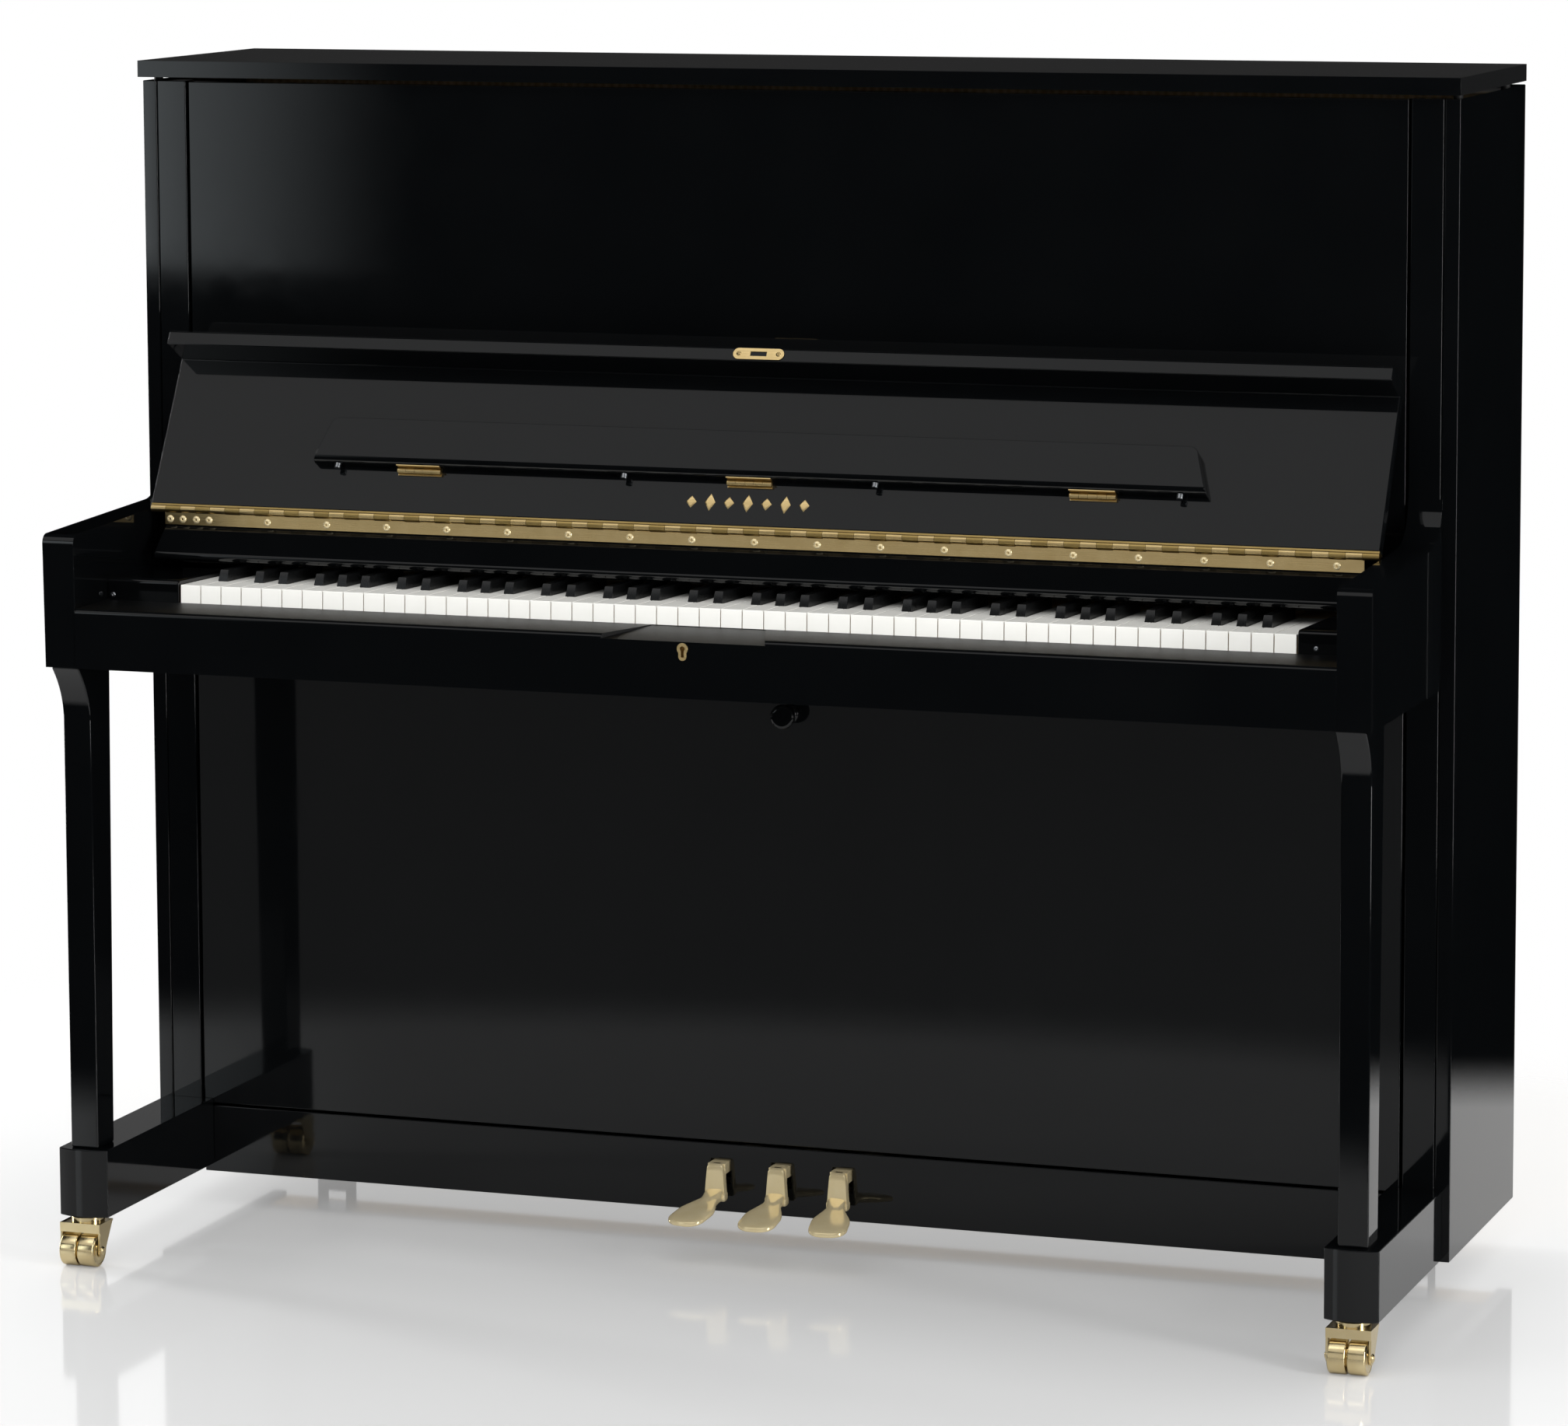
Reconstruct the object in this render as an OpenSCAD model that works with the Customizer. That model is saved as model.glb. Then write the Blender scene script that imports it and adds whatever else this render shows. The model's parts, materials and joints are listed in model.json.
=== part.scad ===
// Upright piano with 88 keys, a folding music shelf on the fallboard, three pedals and casters.
// Millimetres, +Z up, player at -Y, origin on the floor under the middle of the case.

/* [Case] */
// Width over the top lid
case_w = 1480; // [1470:1:1500]
// Depth from the front of the arms to the back posts
case_d = 604; // [600:1:620]
// Height from the floor to the top of the lid
case_h = 1285; // [1270:1:1320]
// Thickness of the top lid
lid_t = 18; // [16:1:22]
// How far the lid stands proud of the case in front
lid_lip = 9; // [5:1:12]
// Thickness of each side panel
side_t = 16; // [14:1:18]
// Width of the stile on each side of the front panels
stile_w = 35; // [32:1:38]
// Thickness of the front panels
panel_t = 18; // [15:1:20]
// Height of the side panels' lower edge above the floor
side_z = 51; // [48:1:54]

/* [Arms and legs] */
// Distance from the front of the arms back to the front of the case
arm_reach = 298; // [290:1:302]
// Height of the arms' lower face
arm_z = 654; // [648:1:658]
// Height of the top of the arms at their front
arm_top = 797; // [790:1:800]
// Rise of the arms' top towards the case
arm_rise = 8; // [4:1:10]
// Radius of the cove that joins each arm to its stile
cove_r = 47; // [40:1:52]
// Width of each leg
leg_w = 32; // [28:1:34]
// Depth of each leg below its cove
leg_d = 40; // [36:1:50]
// Radius of the cove in front of each leg
leg_cove = 60; // [50:1:70]
// Width of each foot
foot_w = 57; // [50:1:60]
// Height of each foot's lower face
foot_z = 53; // [52:1:56]
// Height of each foot
foot_h = 74; // [68:1:76]

/* [Keyboard] */
// Pitch of the white keys
key_pitch = 23.6; // [23.5:0.1:23.7]
// Sideways place of the keyboard's middle
key_shift = 12; // [5:1:15]
// Height of the white keys' front edge
key_top = 737; // [735:1:739]
// Distance from the front of the arms to the fronts of the keys
key_inset = 83; // [81:1:86]
// Slope of the resting keys, down towards the back, in degrees
key_slope = 1.7; // [1.2:0.1:2.0]
// Width of the sharps at the foot of their caps
sharp_w = 10.8; // [10:0.1:11]
// Height of the sharps above the white keys
sharp_h = 12; // [10:0.5:12.5]

/* [Fallboard] */
// Lean of the open fallboard above the horizontal, in degrees
board_lean = 60.9; // [60:0.1:62]
// Height of the fallboard's hinge pin
hinge_z = 804.4; // [803:0.1:806]
// Distance from the front of the arms to the hinge pin
hinge_inset = 190; // [188:1:192]
// Distance from the hinge pin to the fallboard's free edge
board_len = 191; // [188:1:192]
// Depth of the fallboard's lip
lip_d = 42.5; // [38:0.5:44]

/* [Music shelf] */
// Half the width of the shelf along its lower edge
shelf_half = 498; // [400:1:520]
// Height of the shelf along the fallboard
shelf_w = 51; // [46:1:56]
// Thickness of the shelf
shelf_t = 15.4; // [12:0.1:18]

/* [Pedals] */
// Spacing of the pedals
pedal_pitch = 70; // [66:1:74]
// Outward turn of the outer pedals' toes, in degrees
pedal_splay = 9.5; // [0:0.5:12]
// Width of the toes
toe_w = 42; // [36:1:46]

/* [Hidden] */
$fn = 48;

lacquer = "#141618";
brass = "#b89a54";
ivory = "#f4f2ec";
spruce = "#c9a66b";
beech = "#b98d5a";
iron = "#a98a45";
steel = "#9aa0a4";
felt_red = "#8c2b2b";
felt_white = "#e8e4da";

// Driving planes
half_w = case_w / 2;
front_y = -case_d / 2;
back_y = case_d / 2;
case_y = front_y + arm_reach;
side_x = half_w - 2;
inner_x = side_x - side_t;
stile_x = inner_x - stile_w;
side_top = case_h - lid_t - 4;
panel_y = case_y + 1;
arm_w = 36;
leg_x = stile_x + 14;
stile_d = 26;
foot_y = front_y + 19;
leg_y = front_y + 30;
bed_top = 690;
bed_front = front_y + 22;
bed_back = 166;
floor_z = 56;
lock_z = 703;
scoop_w = 90;
rubber = "#26221f";

// Back, soundboard, plate and strings, from the back forwards
post_y = back_y - 52;
rib_y = post_y - 18;
board_y = rib_y - 9;
string_y = board_y - 32;
plate_y = string_y + 7;
beam_z = 1176;
sill_z = 132;
bridge_w = 130;
bridge_x0 = -250;

// Keys
key_n = 88;
white_n = 52;
key_y = front_y + key_inset;
key_len = 370;
key_x0 = key_shift - 26 * key_pitch;
key_gap = 1;
key_stick = 23;
balance_l = 220;
balance_y = key_y + balance_l * cos(key_slope) - key_stick * sin(key_slope);
balance_z = key_top - key_stick * cos(key_slope) - balance_l * sin(key_slope);
sharp_l = 50;
sharp_len = 95;
bead_r = 2.4;
bead_play = 0.06;
sharp_shift = [0, -2.2, 2.2, 0, -3, 0, 3, 0];

// Fallboard hinge and shelf hinge, the second in the fallboard's own frame
hinge_y = front_y + hinge_inset;
hinge_x = stile_x - 3;
rail_x = stile_x - 19;
leaf_x = rail_x;
knuckle_r = 4;
pin_r = 1.6;
pin_play = 0.06;
knuckle_n = 78;
knuckle_w = 2 * hinge_x / knuckle_n;
face_n = 4.1;
board_t = 14;
board_s0 = 4.6;
lip_t = 16;
shelf_s = 51.5;
shelf_n = face_n + 3.5;
shelf_edge = shelf_s + 3.5;
shelf_gap = 0.5;
shelf_knuckle_r = 3.2;
shelf_hinge_x = [-376, 0, 376];
shelf_knuckle_w = 10;
shelf_bumper_x = [-470, -140, 140, 470];

// Top lid hinge
lid_hinge_y = back_y - 2.6;
lid_hinge_z = case_h - lid_t - 2.2;
lid_back = back_y - 5;
lid_hinge_xs = [-480, 0, 480];
lid_knuckle_r = 2.4;
lid_knuckle_w = 24;

// Pedals
pedal_pivot = [120, 94];
pedal_pin_r = 3;
pedal_play = 0.06;
pedal_w = 20;
pedal_xs = [-pedal_pitch, 0, pedal_pitch];

// Casters
wheel_r = 18;
swivel_y = foot_y + 17;
axle_y = foot_y + 2;
rear_x = 640;
rear_y = back_y - 40;
axle_r = 3;
spindle_r = 5;
swivel_play = 0.05;

// Action: one hammer, one string and one tuning pin for each key
bass_n = 28;
damper_n = 70;
action_pitch = 13.9;
action_x0 = key_x0 + 9;
hammer_pivot = [126, 900];
damper_pivot = [158, 880];
action_rod_r = 1.5;
action_play = 0.06;
action_x = [action_x0 - 10, action_x0 + (key_n - 1) * action_pitch + 10];
bracket_xs = [action_x[0] - 8, action_x0 + 27.5 * action_pitch, action_x0 + 59.5 * action_pitch,
    action_x[1] + 8];

// A block between two corners, given as [low, high] along each axis
module block(x, y, z) {
    translate([x[0], y[0], z[0]]) cube([x[1] - x[0], y[1] - y[0], z[1] - z[0]]);
}

// A side-view outline drawn in Y and Z, carried from x0 to x1
module along_x(x0, x1) {
    translate([x0, 0, 0]) rotate([90, 0, 90]) linear_extrude(height = x1 - x0) children();
}

// A rod of radius r along X, centred on the point [y, z]
module rod_x(x0, x1, at, r) {
    translate([x0, at[0], at[1]]) rotate([0, 90, 0]) cylinder(r = r, h = x1 - x0);
}

// The points of an arc, with its centre at c
function arc(c, r, a0, a1, n) =
    [for (i = [0:n]) let (a = a0 + (a1 - a0) * i / n) [c[0] + r * cos(a), c[1] + r * sin(a)]];

// Both hands of something drawn for the right
module both() {
    children();
    mirror([1, 0, 0]) children();
}

// Case -------------------------------------------------------------------------------------

module side_right() {
    color(lacquer) {
        block([inner_x, side_x], [case_y, back_y], [side_z, side_top]);
        difference() {
            block([stile_x, inner_x], [case_y, case_y + stile_d], [side_z, side_top]);
            block([inner_x - 1.2, inner_x + 1], [case_y - 1, case_y + 3], [side_z - 1, side_top + 1]);
        }
    }
}

module side_panel_right() { side_right(); }
module side_panel_left() { mirror([1, 0, 0]) side_right(); }

// Arm with a rounded nose, a top that rises gently and a cove up the face of the stile
module arm_right() {
    cove_c = [case_y - cove_r, arm_top + arm_rise + cove_r];
    nose = 10;
    slant = 3;
    color(lacquer) along_x(stile_x, stile_x + arm_w) polygon(concat(
        [[front_y + slant, arm_z]],
        arc([front_y + nose, arm_top - nose], nose, 180, 90, 8),
        arc(cove_c, cove_r, 270, 360, 16),
        [[case_y, arm_z]]));
}
module arm_left() { mirror([1, 0, 0]) arm_right(); }

// Slim leg whose front sweeps forward under the arm in a cove
module leg_right() {
    reach = leg_y - front_y - 3;
    color(lacquer) along_x(leg_x - leg_w / 2, leg_x + leg_w / 2) polygon(concat(
        [[leg_y, foot_z + foot_h]],
        [for (i = [0:12]) let (t = i / 12) [leg_y - reach * t * t, arm_z - leg_cove * (1 - t)]],
        [[leg_y + leg_d + 10, arm_z], [leg_y + leg_d, foot_z + foot_h]]));
}
module leg_left() { mirror([1, 0, 0]) leg_right(); }

// Foot: one plank from the bowed toe back to the stile, bored for the caster's spindle
module foot_right() {
    bow_r = 60;
    a = asin(foot_w / 2 / bow_r);
    color(lacquer) difference() {
        translate([0, 0, foot_z]) linear_extrude(height = foot_h) polygon(concat(
            arc([leg_x, foot_y + bow_r], bow_r, 270 - a, 270 + a, 16),
            [[leg_x + foot_w / 2, case_y], [leg_x - foot_w / 2, case_y]]));
        translate([leg_x, swivel_y, foot_z - 1]) cylinder(r = spindle_r + swivel_play, h = 31);
    }
}
module foot_left() { mirror([1, 0, 0]) foot_right(); }

module key_bed() {
    color(lacquer) block([-stile_x, stile_x], [bed_front, bed_back], [arm_z, bed_top]);
}

// Key slip: front board and broad cap in one, with a softened nose, the lock's mortise, and a
// scoop in the middle for the fingers that lift the fallboard
module key_slip() {
    top = bed_top + 28;
    nose = 5;
    color(lacquer) difference() {
        along_x(-stile_x, stile_x) polygon(concat(
            [[front_y + 2, arm_z]],
            arc([front_y + 1 + nose, top - nose], nose, 180, 90, 6),
            [[key_y - 2.5, top], [key_y - 2.5, bed_top], [bed_front, bed_top], [bed_front, arm_z]]));
        translate([0, front_y - 1, 0]) lock_outline(30, 0.3);
        intersection() {
            along_x(-scoop_w, scoop_w) polygon([[key_y - 3, top + 1], [key_y - 3, top - 0.6],
                [front_y, top - 5], [front_y, top + 1]]);
            translate([0, 0, bed_top]) linear_extrude(height = 30) polygon([[-scoop_w, front_y],
                [scoop_w, front_y], [scoop_w - 28, key_y - 2], [-scoop_w + 28, key_y - 2]]);
        }
    }
}

// The lock's keyhole-shaped plate, drawn from the front backwards
module lock_outline(depth, play) {
    translate([0, 0, lock_z + 3]) rotate([-90, 0, 0]) cylinder(r = 6 + play, h = depth);
    translate([0, 0, lock_z - 5]) rotate([-90, 0, 0]) cylinder(r = 4.4 + play, h = depth);
    block([-4.4 - play, 4.4 + play], [0, depth], [lock_z - 5, lock_z + 3]);
}

// End blocks beside the keys, parallel with their tops
module key_blocks() {
    nose = 5;
    depth = 143;
    front = key_y - 2;
    top = key_top + 5;
    drop = depth * tan(key_slope);
    ends = [[-stile_x, key_x0 - 1.4], [key_x0 + white_n * key_pitch + 1.4, stile_x]];
    color(lacquer) for (x = ends) along_x(x[0], x[1]) polygon(concat(
        [[front, bed_top]],
        arc([front + nose, top - nose], nose, 180, 90, 6),
        [[front + depth, top - drop], [front + depth, bed_top]]));
}

// Rail that carries the fallboard: shelf behind the hinge, seat for its leaf, slope down to a
// rounded bead, and a felt-lined strip over the keys
module fallboard_rail() {
    bead = [key_y + 81, key_top + 20.5];
    edge_r = 5;
    seat = hinge_y + 1;
    top = hinge_z - 5.4;
    under = bead[1] - edge_r;
    strip = key_y + 147.5;
    color(lacquer) along_x(-rail_x, rail_x) polygon(concat(
        [[case_y - 0.5, top], [seat, top], [seat, top - 12]],
        arc(bead, edge_r, 130, 270, 8),
        [[strip, under], [strip, under - 11.5], [strip + 9, under - 11.5]],
        [[strip + 9, top - 12], [case_y - 0.5, top - 12]]));
}

// One run of barrels of a hinge, every second one, starting with the first given
module knuckles(x0, w, n, first, at, r, bore) {
    difference() {
        for (i = [first:2:n - 1]) rod_x(x0 + i * w + 0.15, x0 + (i + 1) * w - 0.15, at, r);
        rod_x(x0 - 1, x0 + n * w + 1, at, bore);
    }
}

// The space swept by the other leaf's barrels
module knuckle_room(x0, w, n, first, at, r) {
    for (i = [first:2:n - 1]) rod_x(x0 + i * w - 0.1, x0 + (i + 1) * w + 0.1, at, r + 0.4);
}

leaf_screws = concat([-662, -647, -631, -616], [for (i = [0:17]) -547 + 69.8 * i]);

// Fixed leaf of the continuous hinge, on the rail's face, with its pin and screws
module fallboard_hinge_lower() {
    at = [hinge_y, hinge_z];
    color(brass) {
        difference() {
            block([-leaf_x, leaf_x], [hinge_y - 1, hinge_y + 1], [hinge_z - 17, hinge_z]);
            rod_x(-hinge_x - 1, hinge_x + 1, at, pin_r + pin_play);
            knuckle_room(-hinge_x, knuckle_w, knuckle_n, 1, at, knuckle_r);
        }
        knuckles(-hinge_x, knuckle_w, knuckle_n, 0, at, knuckle_r, pin_r + pin_play);
        rod_x(-hinge_x, hinge_x, at, pin_r);
        for (x = leaf_screws) translate([x, hinge_y - 1, hinge_z - 11]) rotate([90, 0, 0])
            cylinder(r = 2.6, h = 0.6);
    }
}

// Lock let into the key slip: a plate with its keyhole, and the case behind
module fallboard_lock() {
    color(brass) difference() {
        translate([0, front_y + 0.4, 0]) lock_outline(23, 0);
        translate([0, front_y - 1, lock_z + 3]) rotate([-90, 0, 0]) cylinder(r = 2.6, h = 14);
        block([-1.5, 1.5], [front_y - 1, front_y + 13], [lock_z - 6, lock_z + 3]);
    }
}

module upper_panel() {
    stop_h = 8.6;
    color(lacquer)
        block([-stile_x + 3.5, stile_x - 3.5], [panel_y, panel_y + panel_t], [770, side_top - 1]);
    color(rubber) for (x = [-500, 500]) translate([x, panel_y, 955]) rotate([90, 0, 0])
        cylinder(r = 7, h = stop_h);
}

module lower_panel() {
    color(lacquer) block([-stile_x + 3.5, stile_x - 3.5], [panel_y, panel_y + panel_t], [122, arm_z - 3]);
}

// Turned knob: neck and flat button
module lower_panel_knob() {
    color(lacquer) translate([12, panel_y, 595]) rotate([90, 0, 0]) {
        cylinder(r = 7, h = 20);
        translate([0, 0, 17]) cylinder(r = 13.5, h = 12);
    }
}

// Toe rail under the lower panel, with a slot for each pedal
module toe_rail() {
    slot_w = 11.5;
    color(lacquer) difference() {
        block([-stile_x + 3.5, stile_x - 3.5], [panel_y, panel_y + panel_t], [44, 119]);
        for (x = pedal_xs)
            block([x - slot_w, x + slot_w], [panel_y - 1, panel_y + panel_t + 1], [75, 102]);
    }
}

// Bottom board with the bearing blocks and pivot pins of the pedals
module bottom_board() {
    color(beech) {
        block([-inner_x, inner_x], [case_y + stile_d, post_y], [floor_z, floor_z + 20]);
        for (x = pedal_xs) for (side = [-1, 1]) let (c = x + side * (pedal_w / 2 + 6))
            block([c - 5, c + 5], [pedal_pivot[0] - 12, pedal_pivot[0] + 12],
                [floor_z + 20, pedal_pivot[1] + 10]);
    }
    color(steel) for (x = pedal_xs)
        rod_x(x - pedal_w / 2 - 8, x + pedal_w / 2 + 8, pedal_pivot, pedal_pin_r);
}

// Posts, top beam, sill, the liners that hold the soundboard, and the pin block
module back_frame() {
    post_w = 70;
    posts = [for (i = [-2:2]) i * (inner_x - post_w / 2) / 2];
    color(spruce) {
        for (x = posts) block([x - post_w / 2, x + post_w / 2], [post_y, back_y - 1], [sill_z, beam_z]);
        block([-inner_x, inner_x], [post_y, back_y - 1], [beam_z, side_top - 1]);
        block([-inner_x, inner_x], [post_y, back_y - 1], [floor_z, sill_z]);
        block([-inner_x, -inner_x + 40], [rib_y, post_y], [sill_z, beam_z - 56]);
        block([inner_x - 40, inner_x], [rib_y, post_y], [sill_z, beam_z - 56]);
        block([-inner_x, inner_x], [rib_y, post_y], [beam_z - 56, side_top - 1]);
        block([-inner_x, inner_x], [rib_y, post_y], [sill_z - 40, sill_z]);
    }
    color(beech) block([-inner_x, inner_x], [plate_y + 8, rib_y], [beam_z - 46, beam_z + 62]);
}

// Soundboard with slanting ribs behind it and the bridges in front
module soundboard() {
    rib_w = 22;
    color(spruce) {
        block([-inner_x + 1, inner_x - 1], [board_y, rib_y], [sill_z - 38, beam_z - 48]);
        intersection() {
            block([-inner_x + 42, inner_x - 42], [rib_y - 1, rib_y + 15], [sill_z + 2, beam_z - 58]);
            for (i = [-5:5]) translate([i * 200, rib_y - 1, (sill_z + beam_z) / 2]) rotate([0, 45, 0])
                translate([-1000, 0, -rib_w / 2]) cube([2000, 16, rib_w]);
        }
    }
    color(beech) {
        for (i = [1:6]) let (x = bridge_x0 + i * bridge_w, z = 330 + i * i * 14)
            block([x - bridge_w / 2 + 9, x + bridge_w / 2 - 9], [string_y + 2, board_y], [z - 16, z + 16]);
        block([-600, bridge_x0 + 32], [string_y + 2, board_y], [244, 276]);
    }
}

// Cast plate: pin field, hitch rail with its pins, and bars between the sections
module iron_plate() {
    bar_w = 12;
    bars = [-694, bridge_x0 + bridge_w / 2, bridge_x0 + 2.5 * bridge_w, bridge_x0 + 4.5 * bridge_w, 694];
    color(iron) {
        for (x = bars)
            block([x - bar_w / 2, x + bar_w / 2], [plate_y, plate_y + 8], [214, beam_z - 60]);
        block([-700, 700], [plate_y, plate_y + 8], [beam_z - 60, beam_z + 62]);
        block([-700, 700], [plate_y, plate_y + 8], [150, 214]);
    }
    color(steel) for (n = [0:key_n - 1]) translate([note_x(n), string_y - 3, hitch_z(n) - 3.6])
        rotate([-90, 0, 0]) cylinder(r = 1.6, h = plate_y - string_y + 3, $fn = 16);
}

function note_x(n) = action_x0 + n * action_pitch;
function pin_z(n) = beam_z + 24 - 20 * (n % 3);
function hitch_z(n) = 196 - 8 * (n % 2);
function string_r(n) = n < bass_n ? 1.6 : 0.7;

module tuning_pins() {
    pin_r = 3.4;
    color(steel) for (n = [0:key_n - 1]) translate([note_x(n) - 5.2, string_y - 24, pin_z(n)])
        rotate([-90, 0, 0]) cylinder(r = pin_r, h = plate_y - string_y + 24);
}

module strings() {
    color(steel) for (n = [0:key_n - 1]) translate([note_x(n), string_y, hitch_z(n)])
        cylinder(r = string_r(n), h = pin_z(n) - hitch_z(n), $fn = 16);
}

// Key frame: front, balance and back rails, with the round bead that the keys rock on and a pin
// for each key
module key_frame() {
    key_xs = concat([for (n = [0:white_n - 1]) stick_x(n)], sharp_xs);
    ends = [key_x0 + 1, key_x0 + white_n * key_pitch - 1];
    color(beech) {
        block(ends, [key_y + 18, key_y + 58], [bed_top, bed_top + 10]);
        block(ends, [balance_y - 20, balance_y + 20], [bed_top, balance_z - 2]);
        block(ends, [balance_y + 112, balance_y + 142], [bed_top, balance_z - 5]);
    }
    color(steel) for (x = key_xs) translate([x, balance_y, balance_z - 2])
        cylinder(r = 1.8, h = 8, $fn = 16);
    color(steel) rod_x(ends[0], ends[1], [balance_y, balance_z], bead_r);
}

// Action frame: cast brackets behind the keys, two rails, and a lever over each key's end
module action_frame() {
    rail = [96, 112];
    bracket_t = 4;
    rails = [[790, 806], [872, 888]];
    color(beech) {
        for (z = rails) block(action_x, rail, z);
        for (n = [0:key_n - 1]) block([note_x(n) - 3, note_x(n) + 3], [rail[1], 150], [792, 800]);
    }
    color(iron) for (x = bracket_xs) difference() {
        along_x(x - bracket_t / 2, x + bracket_t / 2) polygon([[153, bed_top], [165, bed_top],
            [165, 892], [140, 916], [118, 916], [94, 888], [94, 786], [153, 740]]);
        rod_x(x - 10, x + 10, hammer_pivot, action_rod_r + action_play);
        rod_x(x - 10, x + 10, damper_pivot, action_rod_r + action_play);
    }
}

// Hammers on their rod, with the rest rail that carries them forward when the left pedal is down
module hammers() {
    y = hammer_pivot[0];
    z = hammer_pivot[1];
    reach = 118;
    color(beech) for (n = [0:key_n - 1]) let (x = note_x(n)) {
        block([x - 3, x + 3], [y - 6, y + 8], [z - 8, z + 14]);
        translate([x, y, z + 13]) cylinder(r = 2.5, h = reach - 12, $fn = 16);
    }
    color(felt_white) for (n = [0:key_n - 1]) let (x = note_x(n))
        block([x - 5, x + 5], [y - 4, y + 20], [z + reach, z + reach + 24]);
    color(felt_red) block(action_x, [y - 19, y - 2], [z + 72, z + 92]);
    color(steel) rod_x(bracket_xs[0] - 4, bracket_xs[3] + 4, hammer_pivot, action_rod_r);
}

// Dampers: felts that rest on the strings, on wires from a rod that the right pedal turns
module dampers() {
    y = damper_pivot[0];
    z = damper_pivot[1];
    runs = [[action_x[0], bracket_xs[1] - 5], [bracket_xs[1] + 5, bracket_xs[2] - 5],
        [bracket_xs[2] + 5, note_x(damper_n)]];
    color(beech) for (x = runs) block(x, [y - 4, string_y - 12], [z - 4, z + 6]);
    color(steel) {
        for (n = [0:damper_n - 1]) let (x = note_x(n))
            block([x - 1.2, x + 1.2], [string_y - 16, string_y - 12], [z + 6, 984]);
        rod_x(bracket_xs[0] - 4, bracket_xs[3] + 4, damper_pivot, action_rod_r);
    }
    color(felt_white) for (n = [0:damper_n - 1]) let (x = note_x(n))
        block([x - 4, x + 4], [string_y - 12, string_y - 2], [950, 984]);
}

module muffler_rail() {
    color(beech) block(action_x, [string_y - 14, string_y - 6], [1078, 1096]);
    color(felt_red) block(action_x, [string_y - 13, string_y - 9], [1050, 1078]);
}

// Top lid -----------------------------------------------------------------------------------

module top_lid() {
    color(lacquer) block([-half_w, half_w], [case_y - lid_lip, lid_back], [case_h - lid_t, case_h]);
    color(rubber) both() for (y = [20, 240])
        translate([side_x - side_t / 2, y, side_top]) cylinder(r = 5, h = 4);
}

module lid_hinge_lower() {
    at = [lid_hinge_y, lid_hinge_z];
    n = 5;
    color(brass) for (x = lid_hinge_xs) {
        x0 = x - n * lid_knuckle_w / 2;
        difference() {
            block([x0, x0 + n * lid_knuckle_w], [lid_hinge_y - 26, lid_hinge_y], [side_top - 1, side_top + 0.4]);
            knuckle_room(x0, lid_knuckle_w, n, 1, at, lid_knuckle_r);
            rod_x(x0 - 1, x0 + n * lid_knuckle_w + 1, at, 1.06);
        }
        knuckles(x0, lid_knuckle_w, n, 0, at, lid_knuckle_r, 1.06);
        rod_x(x0, x0 + n * lid_knuckle_w, at, 1);
    }
}

module lid_hinge_upper() {
    at = [lid_hinge_y, lid_hinge_z];
    n = 5;
    color(brass) for (x = lid_hinge_xs) {
        x0 = x - n * lid_knuckle_w / 2;
        difference() {
            block([x0, x0 + n * lid_knuckle_w], [lid_hinge_y - 26, lid_hinge_y + 1],
                [case_h - lid_t - 1.4, case_h - lid_t]);
            knuckle_room(x0, lid_knuckle_w, n, 0, at, lid_knuckle_r);
            rod_x(x0 - 1, x0 + n * lid_knuckle_w + 1, at, 1.06);
        }
        knuckles(x0, lid_knuckle_w, n, 1, at, lid_knuckle_r, 1.06);
    }
}

// Fallboard ---------------------------------------------------------------------------------

// The fallboard's own frame: X along the hinge pin, Y up the board, Z out of its inner face
module on_board() {
    translate([0, hinge_y, hinge_z]) rotate([board_lean, 0, 0]) children();
}

module fallboard() {
    round = 3;
    color(lacquer) on_board() along_x(-hinge_x, hinge_x) polygon(concat(
        [[board_s0, face_n], [board_s0, face_n - board_t]],
        arc([board_len - round, face_n - board_t + round], round, 270, 360, 4),
        arc([board_len - round, face_n + lip_d - round], round, 0, 90, 4),
        [[board_len - lip_t, face_n + lip_d], [board_len - lip_t, face_n]]));
}

// Moving leaf, on the lower edge of the board
module fallboard_hinge_upper() {
    at = [0, 0];
    color(brass) on_board() {
        difference() {
            block([-hinge_x, hinge_x], [board_s0 - 2, board_s0], [-9.5, 3.5]);
            knuckle_room(-hinge_x, knuckle_w, knuckle_n, 0, at, knuckle_r);
            rod_x(-hinge_x - 1, hinge_x + 1, at, pin_r + pin_play);
        }
        knuckles(-hinge_x, knuckle_w, knuckle_n, 1, at, knuckle_r, pin_r + pin_play);
    }
}

// Plate on the end of the lip that the lock's bolt catches
module strike_plate() {
    half = 28.5;
    r = 6.4;
    color(brass) on_board() translate([0, board_len - lip_t / 2, face_n + lip_d]) difference() {
        linear_extrude(height = 1.2) union() {
            square([2 * (half - r), 2 * r], center = true);
            for (side = [-1, 1]) translate([side * (half - r), 0]) circle(r = r);
        }
        translate([-9, -2.5, -1]) cube([18, 5, 4]);
        for (side = [-1, 1]) translate([side * (half - r), 0, -1]) cylinder(r = 1.5, h = 4);
    }
}

// Music shelf, folded up against the board: rounded lower edge, narrower towards its top
module music_shelf() {
    back = face_n + shelf_gap;
    top = back + shelf_t;
    far = shelf_edge + shelf_w;
    nose = 8;
    corner = 10;
    taper = 13;
    color(lacquer) on_board() intersection() {
        along_x(-shelf_half, shelf_half) polygon(concat(
            arc([shelf_edge + nose, top - nose], nose, 90, 180, 8),
            [[shelf_edge, back], [far, back], [far, top]]));
        linear_extrude(height = 2 * top) polygon(concat(
            [[-shelf_half, shelf_edge - 1], [shelf_half, shelf_edge - 1]],
            arc([shelf_half - taper - corner, far - corner], corner, 0, 90, 6),
            arc([-shelf_half + taper + corner, far - corner], corner, 90, 180, 6)));
    }
    color(rubber) on_board() for (x = shelf_bumper_x)
        translate([x, shelf_edge, back + 8.5]) rotate([90, 0, 0]) cylinder(r = 3.5, h = 5.6);
}

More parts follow.
